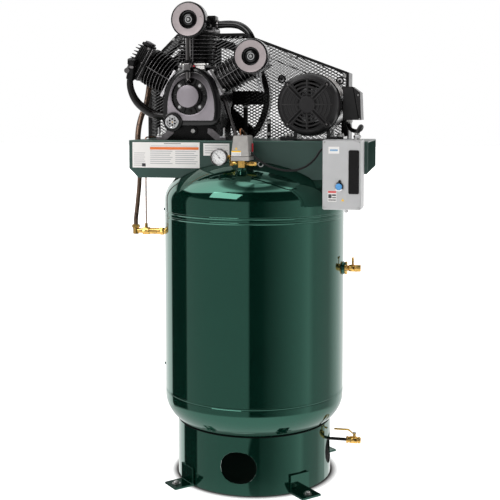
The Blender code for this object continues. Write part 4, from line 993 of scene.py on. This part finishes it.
def make_pipe_ends():
    """The elbows and flanges that join the pump's pipes to its heads and crankcase."""
    ends = Shape("cast_black", "dark_chrome", "cast_grey", "cast_painted_highlight",
                 frame=cylinder_frame("left"))
    top, bottom = Vector((0.002, -0.096, 0.3275)), Vector((0.077, -0.071, 0.301))
    rise = Vector((0.014, 0, 0))
    for look, start, end, radius, far, soft in (
            ("cast_black", top, top.lerp(bottom, 0.3), 0.0205, 0.02, 0.003),
            ("dark_chrome", top.lerp(bottom, 0.3), top.lerp(bottom, 0.44), 0.0178, None, 0.0006),
            ("cast_black", top.lerp(bottom, 0.44), top.lerp(bottom, 0.78), 0.017, 0.018, 0.0006),
            ("cast_black", top.lerp(bottom, 0.76), bottom + Vector((0.008, 0, 0)), 0.019, None,
             0.002)):
        ends.use(look).rod(start, end, radius, far, 28, soft)
    ends.rod(top + rise, top + rise + Vector((0, 0.05, -0.004)), 0.015)
    ends.use("dark_chrome").rod((0.056, -0.101, 0.324), (0.056, -0.07, 0.324), 0.012)
    ends.use("cast_black").box((-0.083, -0.045, 0.29), (-0.069, 0.02, 0.34), 0.004)
    ends.use("cast_grey").box((-0.092, -0.038, 0.296), (-0.083, 0.012, 0.332), 0.003)
    ends.frame = cylinder_frame("centre")
    # Painted highlight: this flange uses the lit copy of the cast finish.
    ends.use("cast_painted_highlight").box((0.038, -0.058, 0.268), (0.09, 0.01, 0.289), 0.003)
    ends.use("cast_black").box((0.043, -0.05, 0.289), (0.089, 0.004, 0.337), 0.003)
    for index in range(5):
        x = 0.047 + index * 0.0092
        ends.box((x - 0.0017, -0.0545, 0.292), (x + 0.0017, -0.049, 0.336), 0.0005)
    ends.use("dark_chrome").rod((0.084, -0.02, 0.301), (0.0975, -0.02, 0.301), 0.021, steps=28)
    ends.frame = cylinder_frame("right")
    ends.rod((-0.06, 0, 0.33), (-0.074, 0, 0.33), 0.0205, steps=28)
    ends.frame = Matrix.Identity(4)
    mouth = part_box("head_hose")[1].x
    ends.rod((mouth - 0.0005, 0, 1.52), (mouth - 0.019, 0, 1.52), 0.0175, steps=28)
    ends.done("pipe_ends")


def make_unloader_pair():
    low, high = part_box("filter_right")
    x, z = middle(low.x, high.x), low.z
    twin = Shape("turned_steel")
    for shift in (0.0, 0.013):
        twin.tube([(x + shift + across, y, z + up) for across, y, up in (
            (0.01, -0.128, 0.012), (0.014, -0.126, -0.02), (0.02, -0.12, -0.05),
            (0.024, -0.112, -0.07))], 0.0038, 12)
    twin.done("unloader_pair", angle=50)


for name in CYLINDERS:
    make_cylinder(name)
    make_head(name)
make_filter("top", -0.234, 1.912, CYLINDERS["centre"][1] - 0.0825, 0.073)
make_filter("right", 0.025, 1.7605, CYLINDERS["right"][1] - 0.0605, 0.071)
make_cover()
make_sight_glass()
make_case()
refined("breather_pipe", "dark_chrome", 0, 40)
refined("intercooler_tube", "gloss_black", 0, 50)
make_left_hose()
refined("crankcase_tube", "dark_chrome", 0, 50)
refined("discharge_pipe", "copper_dull", 0, 50)
refined("unloader_tube", "copper_drawn", 0, 50)
make_pipe_ends()
make_unloader_pair()
for side in ("left", "centre", "right"):
    refined("piston_" + side, "machined", 0)
refined("crankshaft", "turned_steel")
refined("flywheel", "gloss_black", 0.002, 30)
refined("motor_pulley", "satin_black", 0.001, 30)
refined("drive_belt", "rubber_matt", 0.0006, 40)
refined("motor_rotor", "turned_steel", 0.0004)
refined("motor_end_bell", "satin_black", 0.001)
refined("cooling_fan", "fan_moulding", 0.0006)


# ---------------------------------------------------------------- belt guard
def guard_corners(by):
    """The guard's outline, moved inward."""
    low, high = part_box("guard_front")
    left, right, top, bottom = low.x + by, high.x - by, high.z - by, low.z + by
    return [(right, bottom), (right, 1.71 - 0.6 * by), (AXIS_X - 0.098 - 0.2 * by, top),
            (AXIS_X - 0.404 + 0.4 * by, top), (left, 1.755 - 0.4 * by), (left, bottom)]


def inside_outline(x, z, outline):
    hit = False
    for (ax, az), (bx, bz) in zip(outline, outline[1:] + outline[:1]):
        if (az > z) != (bz > z) and x < (bx - ax) * (z - az) / (bz - az) + ax:
            hit = not hit
    return hit


def make_mesh_panel(name, node, y, holes, lower):
    """Expanded metal: rows of slanting strands twisted out of the sheet, in a flat border."""
    outer, window = guard_corners(0.0005), guard_corners(0.013)
    panel = Shape("satin_black", "gloss_black").use("gloss_black")
    step_x, step_z, wide, thick = 0.013, 0.007, 0.0015, 0.001
    left, right = min(x for x, _ in outer), max(x for x, _ in outer)
    base, top = min(z for _, z in outer), max(z for _, z in outer)
    for row in range(int((top - base) / step_z) + 1):
        for column in range(int((right - left) / step_x) + 1):
            way = -1 if (row + column) % 2 else 1
            x0, z0 = left + column * step_x, base + row * step_z
            x1, z1 = x0 + step_x, z0 + step_z
            if way < 0:
                z0, z1 = z1, z0
            cx, cz = (x0 + x1) / 2, (z0 + z1) / 2
            if (not inside_outline(cx, cz, window) or cz < lower(cx)
                    or any(math.hypot(cx - at.x, cz - at.z) < r for at, r in holes)):
                continue
            across = Vector((-(z1 - z0), 0, x1 - x0)).normalized() * wide
            tilt, depth = Vector((0, thick * 0.9 * way, 0)), Vector((0, thick, 0))
            panel.skin([panel.ring_of((at + across + tilt, at + across * 0.6 - depth + tilt,
                                       at - across - tilt, at - across * 0.6 + depth - tilt))
                        for at in (Vector((x0, y, z0)), Vector((x1, y, z1)))])
    panel.use("satin_black").panel([outer, window], y - 0.001, y + 0.001)
    for at, r in holes:
        panel.panel([circle(at, r + 0.008, 40), circle(at, r - 0.004, 40)], y - 0.001, y + 0.001)
    panel.done(name, nodes=(node,), angle=25)


def make_guard():
    low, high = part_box("guard_front")
    rear_low, rear_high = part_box("guard_rear")
    front, base, mesh_y = low.y, DECK_HIGH.z, middle(low.y, high.y)

    def above_dome(x):
        away = ((x - AXIS_X) ** 2 + mesh_y**2) / TANK_R**2
        return DOME_HIGH + DOME_RISE * math.sqrt(max(0.0, 1 - away)) + 0.01

    make_mesh_panel("guard_mesh_front", "guard_front", mesh_y, [(CRANK, 0.062), (MOTOR, 0.042)],
                    above_dome)
    make_mesh_panel("guard_mesh_rear", "guard_rear", middle(rear_low.y, rear_high.y), [],
                    lambda x: 0.0)
    refined("guard_rim", "satin_black", 0.0004)
    parts = Shape("satin_black", "zinc", "gloss_black", "plated")
    for x0, x1, depth, top in ((-0.095, -0.075, 0.012, 1.577), (0.014, 0.03, 0.01, 1.506),
                               (-0.54, -0.524, 0.008, 1.62), (0.345, 0.372, 0.008, 1.65)):
        parts.box(P(x0, front - depth, base + 0.001), P(x1, front - 0.002, top), 0.001)
    parts.use("zinc")
    for x, z, depth in ((0.022, 1.44, 0.0105), (0.022, 1.492, 0.0105), (-0.085, 1.44, 0.0125),
                        (-0.085, 1.56, 0.0125)):
        parts.bolt(P(x, front - depth, z), FRONT, 0.01, 0.006)
    for x, z in ((0.0786, 1.683), (0.337, 1.673)):
        at = P(x, front - 0.0005, z)
        parts.use("satin_black").lathe(plug(0, 0.0185, 0.003), at, FRONT, 32)
        parts.use("plated").lathe([(0.0055, 0.003), (0.0125, 0.003), (0.012, 0.0052),
                                   (0.006, 0.0052)], at, FRONT, 32, closed=True)
        parts.use("gloss_black").hexagon(P(x, front - 0.0035, z), FRONT, 0.007, 0.004)
    parts.use("zinc")
    for x, z in ((-0.5, 1.72), (-0.42, 1.865), (-0.11, 1.868), (0.12, 1.785), (0.358, 1.695),
                 (0.358, 1.46)):
        parts.bolt(P(x, front - 0.0002, z), FRONT, 0.01, 0.005, 0.001)
        parts.bolt(P(x, rear_high.y + 0.0002 - 0.003, z), BACK, 0.01, 0.002, 0.0008)
    parts.done("guard_fixings")


make_guard()


# ---------------------------------------------------------------- motor
def make_fan_cover():
    face_y, radii = -0.149, (0.0485, 0.0635, 0.0795, 0.0945)
    at = Vector((MOTOR.x, 0, MOTOR.z))
    cover = Shape("fan_moulding", "rib_painted_highlight", "painted_shadow_black", "dark_chrome", "groove_painted_shade")
    cover.lathe([(0.104, 0.149), (0.1075, 0.1486), (0.115, 0.144), (0.1215, 0.137), (0.125, 0.128),
                 (0.1262, 0.11), (0.1264, 0.069), (0.1244, 0.069), (0.1238, 0.128), (0.1195, 0.136),
                 (0.114, 0.142), (0.107, 0.1462), (0.104, 0.1464)], at, FRONT, 96, closed=True)
    slots = []
    for base in (90, 270):
        for radius in radii:
            gap = math.degrees(0.0042 / radius)
            reach = 32 if radius < 0.055 else 36
            slots += [band(MOTOR, radius - 0.0043, radius + 0.0043, 8, first, last)
                      for first, last in ((base - reach, base - gap), (base + gap, base + reach))]
    cover.panel([circle(MOTOR, 0.1045, 96), *slots], face_y, face_y + 0.0026)
    # On the side quadrants, painted shade in a groove beside each ring and a painted highlight on
    # the ring.
    for radius in radii:
        for base in (0, 180):
            for look, outer, inner, lift in (("groove_painted_shade", 0.0038, 0.0012, 0.0003),
                                             ("rib_painted_highlight", 0.0012, -0.0018, 0.002)):
                arc = band(MOTOR, radius + inner, radius + outer, 14, base - 36, base + 36)
                cover.use(look).panel([arc], face_y - lift, face_y + 0.0005)
    # Painted shade rings round the hub and the rim.
    cover.use("groove_painted_shade")
    for outer, inner, sides in ((0.0405, 0.035, 48), (0.1035, 0.101, 64)):
        cover.panel([circle(MOTOR, outer, sides), circle(MOTOR, inner, sides)], face_y - 0.0003,
                    face_y + 0.0005)
    # Raised rings, bars and hub studs below carry the painted highlight.
    cover.use("rib_painted_highlight")
    for radius in (0.056, 0.0715, 0.087):
        for base in (90, 270):
            arc = band(MOTOR, radius - 0.0012, radius + 0.0012, 14, base - 36, base + 36)
            cover.panel([arc], face_y - 0.0012, face_y + 0.0005)
    for angle in (0, 90, 180, 270):
        turn = Matrix.Rotation(-math.radians(angle), 3, "Y")
        cover.bar(around(MOTOR, 0.068, angle, face_y - 0.0008), (0.0345, 0.0014, 0.0018), 0.0005,
                  turn)
    for angle in (45, 135, 225, 315):
        a = math.radians(angle)
        turn = Matrix.Rotation(-a, 3, "Y")
        side = Vector((-math.sin(a), 0, math.cos(a)))
        # Painted shade: a dark diagonal groove between two highlighted ribs.
        cover.use("groove_painted_shade").bar(around(MOTOR, 0.069, angle, face_y + 0.0004),
                                    (0.033, 0.0008, 0.0088), 0, turn)
        cover.use("rib_painted_highlight")
        for shift in (-0.0062, 0.0062):
            cover.bar(around(MOTOR, 0.071, angle, face_y - 0.0014) + side * shift,
                      (0.039, 0.0022, 0.002), 0.0006, turn)
        lug = around(MOTOR, 0.113, angle)
        cover.use("fan_moulding").lathe([(0, 0.118), (0.015, 0.118), (0.014, 0.1465),
                                         (0.013, 0.148), (0, 0.148)], lug, FRONT, 28)
        # Painted shade: a near-black well round each lug's screw.
        cover.use("painted_shadow_black").lathe(plug(0.148, 0.0085, 0.1484), lug, FRONT, 24)
        cover.use("dark_chrome").hexagon(lug + Vector((0, -0.1484, 0)), FRONT, 0.009, 0.003)
    cover.use("fan_moulding").lathe([(0, 0.153), (0.031, 0.153), (0.033, 0.1518), (0.0345, 0.1488),
                                     (0.0345, 0.1465), (0, 0.1465)], at, FRONT, 56)
    cover.use("rib_painted_highlight")
    for index in range(6):
        cover.lathe(plug(0.1488, 0.004, 0.1512, 0.0036, 0.1516), around(MOTOR, 0.0365, 60 * index),
                    FRONT, 16)
    cover.done("fan_shroud", nodes=("fan_cover",), angle=30)


def make_motor_trim():
    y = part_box("conduit_box")[0].y
    trim = Shape("satin_black", "zinc", "painted_shadow_black", "rib_painted_highlight")
    line = [(AXIS_X + x, z) for x, z in ((0.419, 1.6385), (0.4225, 1.6385), (0.4465, 1.507),
                                         (0.443, 1.507))]
    # Painted shadow along the lid's slanted edge, with a painted highlight strip beside it.
    trim.use("painted_shadow_black").panel([line], y - 0.0006, y + 0.001)
    trim.use("rib_painted_highlight").panel([[(x + 0.0044, z) for x, z in line]], y - 0.0016, y + 0.001)
    trim.use("zinc")
    for x, z in ((0.448, 1.508), (0.4425, 1.606)):
        trim.lathe(plug(0, 0.004, 0.0022, 0.0034, 0.0028), P(x, y, z), FRONT, 16)
    for side in (-1, 1):
        for depth in (0.0, 0.105):
            trim.lathe(plug(0, 0.005, 0.0026, 0.0042, 0.0032),
                       Vector((MOTOR.x + side * 0.07, depth, DECK_HIGH.z + 0.03)), FRONT, 16)
    trim.done("motor_trim")
    rings = Shape("gloss_black")
    for depth in (0.067, -0.147):
        rings.lathe([(0.129, depth - 0.002), (0.1299, depth - 0.001), (0.1299, depth + 0.001),
                     (0.129, depth + 0.002)], Vector((MOTOR.x, 0, MOTOR.z)), FRONT, 96, closed=True)
    rings.done("motor_bands")
    # Painted highlight: a light curved band on the frame's upper right, in place of the glare on
    # its glossy paint.
    plate = Shape("frame_painted_highlight")
    near = circle(MOTOR, 0.1308, 24, 16, 72)
    for (ax, az), (bx, bz) in zip(near, near[1:]):
        plate.face(*plate.ring_of(((ax, -0.06, az), (bx, -0.06, bz), (bx, 0.11, bz),
                                   (ax, 0.11, az))))
    plate.done("motor_painted_highlight", merge=0.00001)


def make_conduit():
    route = [(0.398, 0.03, 1.5036), (0.398, 0.03, 1.49), (0.402, 0.012, 1.474),
             (0.416, -0.022, 1.463), (0.438, -0.07, 1.459), (0.46, -0.13, 1.466),
             (0.47, -0.18, 1.476), (0.4705, -0.213, 1.48), (0.4665, -0.238, 1.471),
             (0.461, -0.249, 1.454), (0.46, -0.25, 1.44), (0.46, -0.25, 1.4289)]
    path = flowing([P(*point) for point in route], 12)
    conduit = Shape("rubber_matt").tube(path, 0.0078, 18, wave=0.0007)
    conduit.done("conduit_hose", nodes=("flex_conduit",), angle=60)
    ends = Shape("zinc", "plated")
    start, end = path[0], path[-1]
    ends.hexagon(start, DOWN, 0.027, 0.01)
    ends.rod(start + Vector((0, 0, -0.01)), start + Vector((0, 0, -0.019)), 0.0105)
    ends.lathe([(0, 0), (0.0165, 0), (0.0165, 0.003), (0.012, 0.004), (0.012, 0.008), (0, 0.008)],
               end, UP, 28)
    ends.use("plated").hexagon(end + Vector((0, 0, 0.008)), UP, 0.026, 0.009)
    ends.use("zinc").rod(end + Vector((0, 0, 0.017)), end + Vector((0, -0.0002, 0.026)), 0.0105)
    ends.done("conduit_ends")


make_fan_cover()
refined("motor_frame", "gloss_black", 0.0012, 30)
refined("conduit_box", "box_black", 0.003, 30)
make_motor_trim()
make_conduit()


# ---------------------------------------------------------------- starter
def make_starter():
    refined("starter_box", "powder_grey", 0.001)
    refined("starter_cover", "powder_grey", 0.0006)
    refined("reset_button", "blue_mould", 0)
    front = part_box("starter_cover")[0].y
    button_low, button_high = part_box("reset_button")
    button = middle(button_low, button_high)
    face = Shape("window_black", "label_white", "label_blue", "label_red", "label_dark",
                 "label_amber", "plated", "zinc", "powder_grey", "gloss_black")
    corner, lip = 0.006, 0.0018
    window = []
    for x, z, side, up, first in ((0.4365, 1.2238, 1, 1, 180), (0.4735, 1.2238, -1, 1, 270),
                                  (0.4735, 1.3886, -1, -1, 0), (0.4365, 1.3886, 1, -1, 90)):
        window += circle(P(x + side * corner, 0, z + up * corner), corner, 5, first, first + 90)
    middle_x, middle_z = AXIS_X + 0.455, 1.3
    rim = [(x + (lip if x > middle_x else -lip), z + (lip if z > middle_z else -lip))
           for x, z in window]
    face.panel([window], front - 0.0016, front + 0.0002)
    face.use("gloss_black").panel([rim, window], front - 0.0022, front + 0.0002)
    sheet, ink = 0.0004, 0.0006
    strips(face, front, 0.0004, (
        ("label_white", 0.357, 0.3985, 1.377, 1.4037, sheet),
        ("label_blue", 0.3625, 0.393, 1.3868, 1.3935, ink),
        ("label_white", 0.3553, 0.3888, 1.192, 1.2344, sheet),
        ("label_red", 0.3563, 0.3878, 1.225, 1.2334, ink),
        ("label_dark", 0.3573, 0.37, 1.205, 1.22, ink),
        ("label_dark", 0.372, 0.387, 1.214, 1.22, ink),
        ("label_dark", 0.372, 0.387, 1.205, 1.209, ink),
        ("label_dark", 0.3573, 0.387, 1.196, 1.2, ink)))
    x, z = AXIS_X + 0.4131, 1.1986
    face.use("label_amber").panel([[(x - 0.006, z - 0.005), (x + 0.006, z - 0.005),
                                    (x, z + 0.006)]], front - 0.0006, front)
    at = Vector((button.x, front, button.z))
    face.use("plated").lathe([(0.0131, 0), (0.019, 0), (0.018, 0.005), (0.0136, 0.0062)], at, FRONT,
                             40, closed=True)
    face.use("gloss_black").lathe(plug(0, 0.0052, 0.0028), at + Vector((0.0035, 0, 0.0205)), FRONT,
                                  20)
    face.use("zinc")
    for x, z in ((0.3415, 1.421), (0.4745, 1.421), (0.3415, 1.1675), (0.4745, 1.1675)):
        face.lathe(plug(0, 0.0034, 0.0016, 0.0028, 0.002), P(x, front, z), FRONT, 16)
    face.use("powder_grey").box(P(0.4235, front + 0.004, 1.153), P(0.4285, front + 0.018, 1.1605),
                                0.0005)
    face.use("plated").lathe(ring(0.004, 0.0068, -0.001, 0.001), P(0.426, front + 0.006, 1.156),
                             (0.3, -1, 0), 24, closed=True)
    face.done("starter_face")


# ---------------------------------------------------------------- switch, gauge and fittings
def make_switch():
    for node, look, soft, angle in (
            ("switch_base", "cast_box_grey", 0.0016, 32),
            ("switch_cover", "cast_box_grey", 0.0045, 20),
            ("auto_off_lever", "red_mould", 0.0004, 32), ("manifold", "brass_turned", 0.0008, 32),
            ("safety_valve", "brass_turned", 0.0004, 32), ("safety_pull", "zinc", 0, 32)):
        refined(node, look, soft, angle)
    low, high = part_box("switch_cover")
    front = low.y
    trim = Shape("label_white", "label_amber", "label_grey", "zinc", "cast_box_grey")
    sheet, ink = 0.0006, 0.0008
    strips(trim, front, 0.0008, [("label_white", -0.027, 0.011, 1.364, 1.383, sheet),
                                 ("label_amber", -0.0265, 0.0105, 1.379, 1.3845, ink)] + [
        ("label_grey", -0.025, 0.009, 1.374 - 0.004 * index, 1.3755 - 0.004 * index, ink)
        for index in range(3)])
    x, z = AXIS_X - 0.008, 1.394
    trim.use("label_amber").panel([[(x - 0.005, z - 0.0042), (x + 0.005, z - 0.0042),
                                    (x, z + 0.0048)]], front - 0.0007, front)
    trim.use("zinc").lathe(plug(0, 0.0045, 0.0024, 0.0038, 0.0028),
                           P(0.008, -0.27, high.z - 0.0004), UP, 20)
    pivot = JOINT["auto_off_turn"]
    trim.use("cast_box_grey").box((high.x - 0.0006, pivot.y - 0.012, pivot.z - 0.008),
                                  (high.x - 0.0001, pivot.y + 0.02, pivot.z + 0.012), 0)
    trim.use("zinc")
    for y in (-0.24, -0.29):
        trim.lathe([(0, 0), (0.01, 0), (0.01, 0.003), (0.008, 0.004), (0, 0.004)],
                   P(0.043, y, 1.372), RIGHT, 24)
    trim.done("switch_trim")
    nuts = Shape("brass_turned")
    for at, axis, across, height in (
            (P(0.005, -0.27, 1.3164), UP, 0.022, 0.0075), (P(0.005, -0.27, 1.334), UP, 0.02, 0.008),
            (P(-0.01, -0.252, 1.332), LEFT, 0.017, 0.009),
            (P(-0.052, -0.252, 1.3565), LEFT, 0.016, 0.009),
            (P(0.0185, -0.27, 1.33), RIGHT, 0.018, 0.007)):
        nuts.hexagon(at, axis, across, height)
    nuts.done("manifold_nuts", angle=30)


def make_gauge():
    low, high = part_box("gauge_case")
    at = Vector((middle(low.x, high.x), low.y, middle(low.z, high.z)))
    case = Shape("plated", "dark_chrome")
    case.use("dark_chrome").lathe([(0.0292, -0.0098), (0.0292, -0.0018), (0.03, -0.0006),
                                   (0.0318, 0), (0.0336, -0.001), (0.035, -0.0036),
                                   (0.035, -0.006), (0.0342, -0.0074), (0.0342, -0.025),
                                   (0.0292, -0.0262)], at, FRONT, 80, closed=True)
    case.use("plated").lathe(plug(-0.0255, 0.03, -0.011), at, FRONT, 60)
    case.done("gauge_housing", nodes=("gauge_case",))
    dial_y, start, sweep = low.y + 0.0092, 225, 270
    dial = Shape("dial_white", "dial_ink")
    dial.lathe(plug(-0.011, 0.0291, -0.0092), at, FRONT, 64)
    dial.use("dial_ink")
    for index in range(46):
        a = math.radians(start - sweep * index / 45)
        inner, half = (0.0248, 0.00022) if index % 5 else (0.0228, 0.0005)
        outer = 0.0272
        side = Vector((-math.sin(a), math.cos(a))) * half
        ray = Vector((math.cos(a), math.sin(a)))
        corners = [ray * inner - side, ray * outer - side, ray * outer + side, ray * inner + side]
        dial.panel([[(at.x + c.x, at.z + c.y) for c in corners]], dial_y - 0.0003, dial_y)
    dial.done("gauge_dial")
    for index in range(10):
        text = bpy.data.curves.new("numeral", "FONT")
        text.body = str(index * 2)
        text.size, text.extrude = 0.0062, 0.0001
        text.align_x, text.align_y = "CENTER", "CENTER"
        text.materials.append(FINISH["dial_ink"][0])
        numeral = placed("gauge_numeral_" + str(index), text)
        numeral.location = around(at, 0.019, start - sweep * index / 9, dial_y - 0.0002)
        numeral.rotation_euler = (math.radians(90), 0, 0)
        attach(numeral, "frame")
    lens = Shape("lens_clear")
    lens.lathe([(0, -0.0012), (0.0291, -0.0014), (0.0291, -0.0026), (0, -0.0024)], at, FRONT)
    lens.done("gauge_lens")
    refined("gauge_needle", "dial_ink", 0)
    hub = Shape("dial_ink")
    hub.lathe(plug(0, 0.003, 0.0012, 0.0026, 0.0014), Vector((at.x, dial_y - 0.0006, at.z)), FRONT,
              20)
    hub.done("needle_hub", body="gauge_needle")


def make_fittings():
    for node in ("check_valve", "side_valve", "side_valve_handle"):
        refined(node, "brass_turned", 0.0004)
    refined("drain_pipe", "satin_black", 0, 50)
    refined("drain_valve", "brass_turned", 0.0004)
    refined("drain_lever", "vinyl", 0.001)
    nuts = Shape("brass_turned", "enamel")
    for look, at, axis, across, height, phase in (
            ("brass_turned", P(-0.5298, 0, 1.0325), UP, 0.03, 0.014, 0.2),
            ("brass_turned", P(-0.406, 0, 1.019), LEFT, 0.03, 0.01, 0.0),
            ("brass_turned", P(-0.485, 0, 1.019), LEFT, 0.031, 0.013, 0.0),
            ("enamel", P(TANK_R + 0.009, 0, 0.883), RIGHT, 0.048, 0.0085, 0.3),
            ("brass_turned", P(TANK_R + 0.05, 0, 0.883), RIGHT, 0.028, 0.012, 0.0),
            ("brass_turned", P(0.399, 0, 0.148), RIGHT, 0.026, 0.01, 0.0),
            ("brass_turned", P(0.448, 0, 0.148), RIGHT, 0.025, 0.011, 0.0)):
        nuts.use(look).hexagon(at, axis, across, height, phase)
    nuts.done("fitting_nuts", angle=30)
    tip = Shape("zinc")
    pivot, bottom = JOINT["drain_lever_turn"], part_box("drain_lever")[0].z
    tip.box((pivot.x - 0.0085, -0.0064, bottom + 0.0002),
            (pivot.x + 0.0085, 0.0064, bottom + 0.003), 0.0006)
    tip.hexagon(Vector((pivot.x, 0, bottom + 0.003)), UP, 0.009, 0.0045)
    tip.done("lever_nut", body="drain_lever")


make_starter()
make_switch()
make_gauge()
make_fittings()
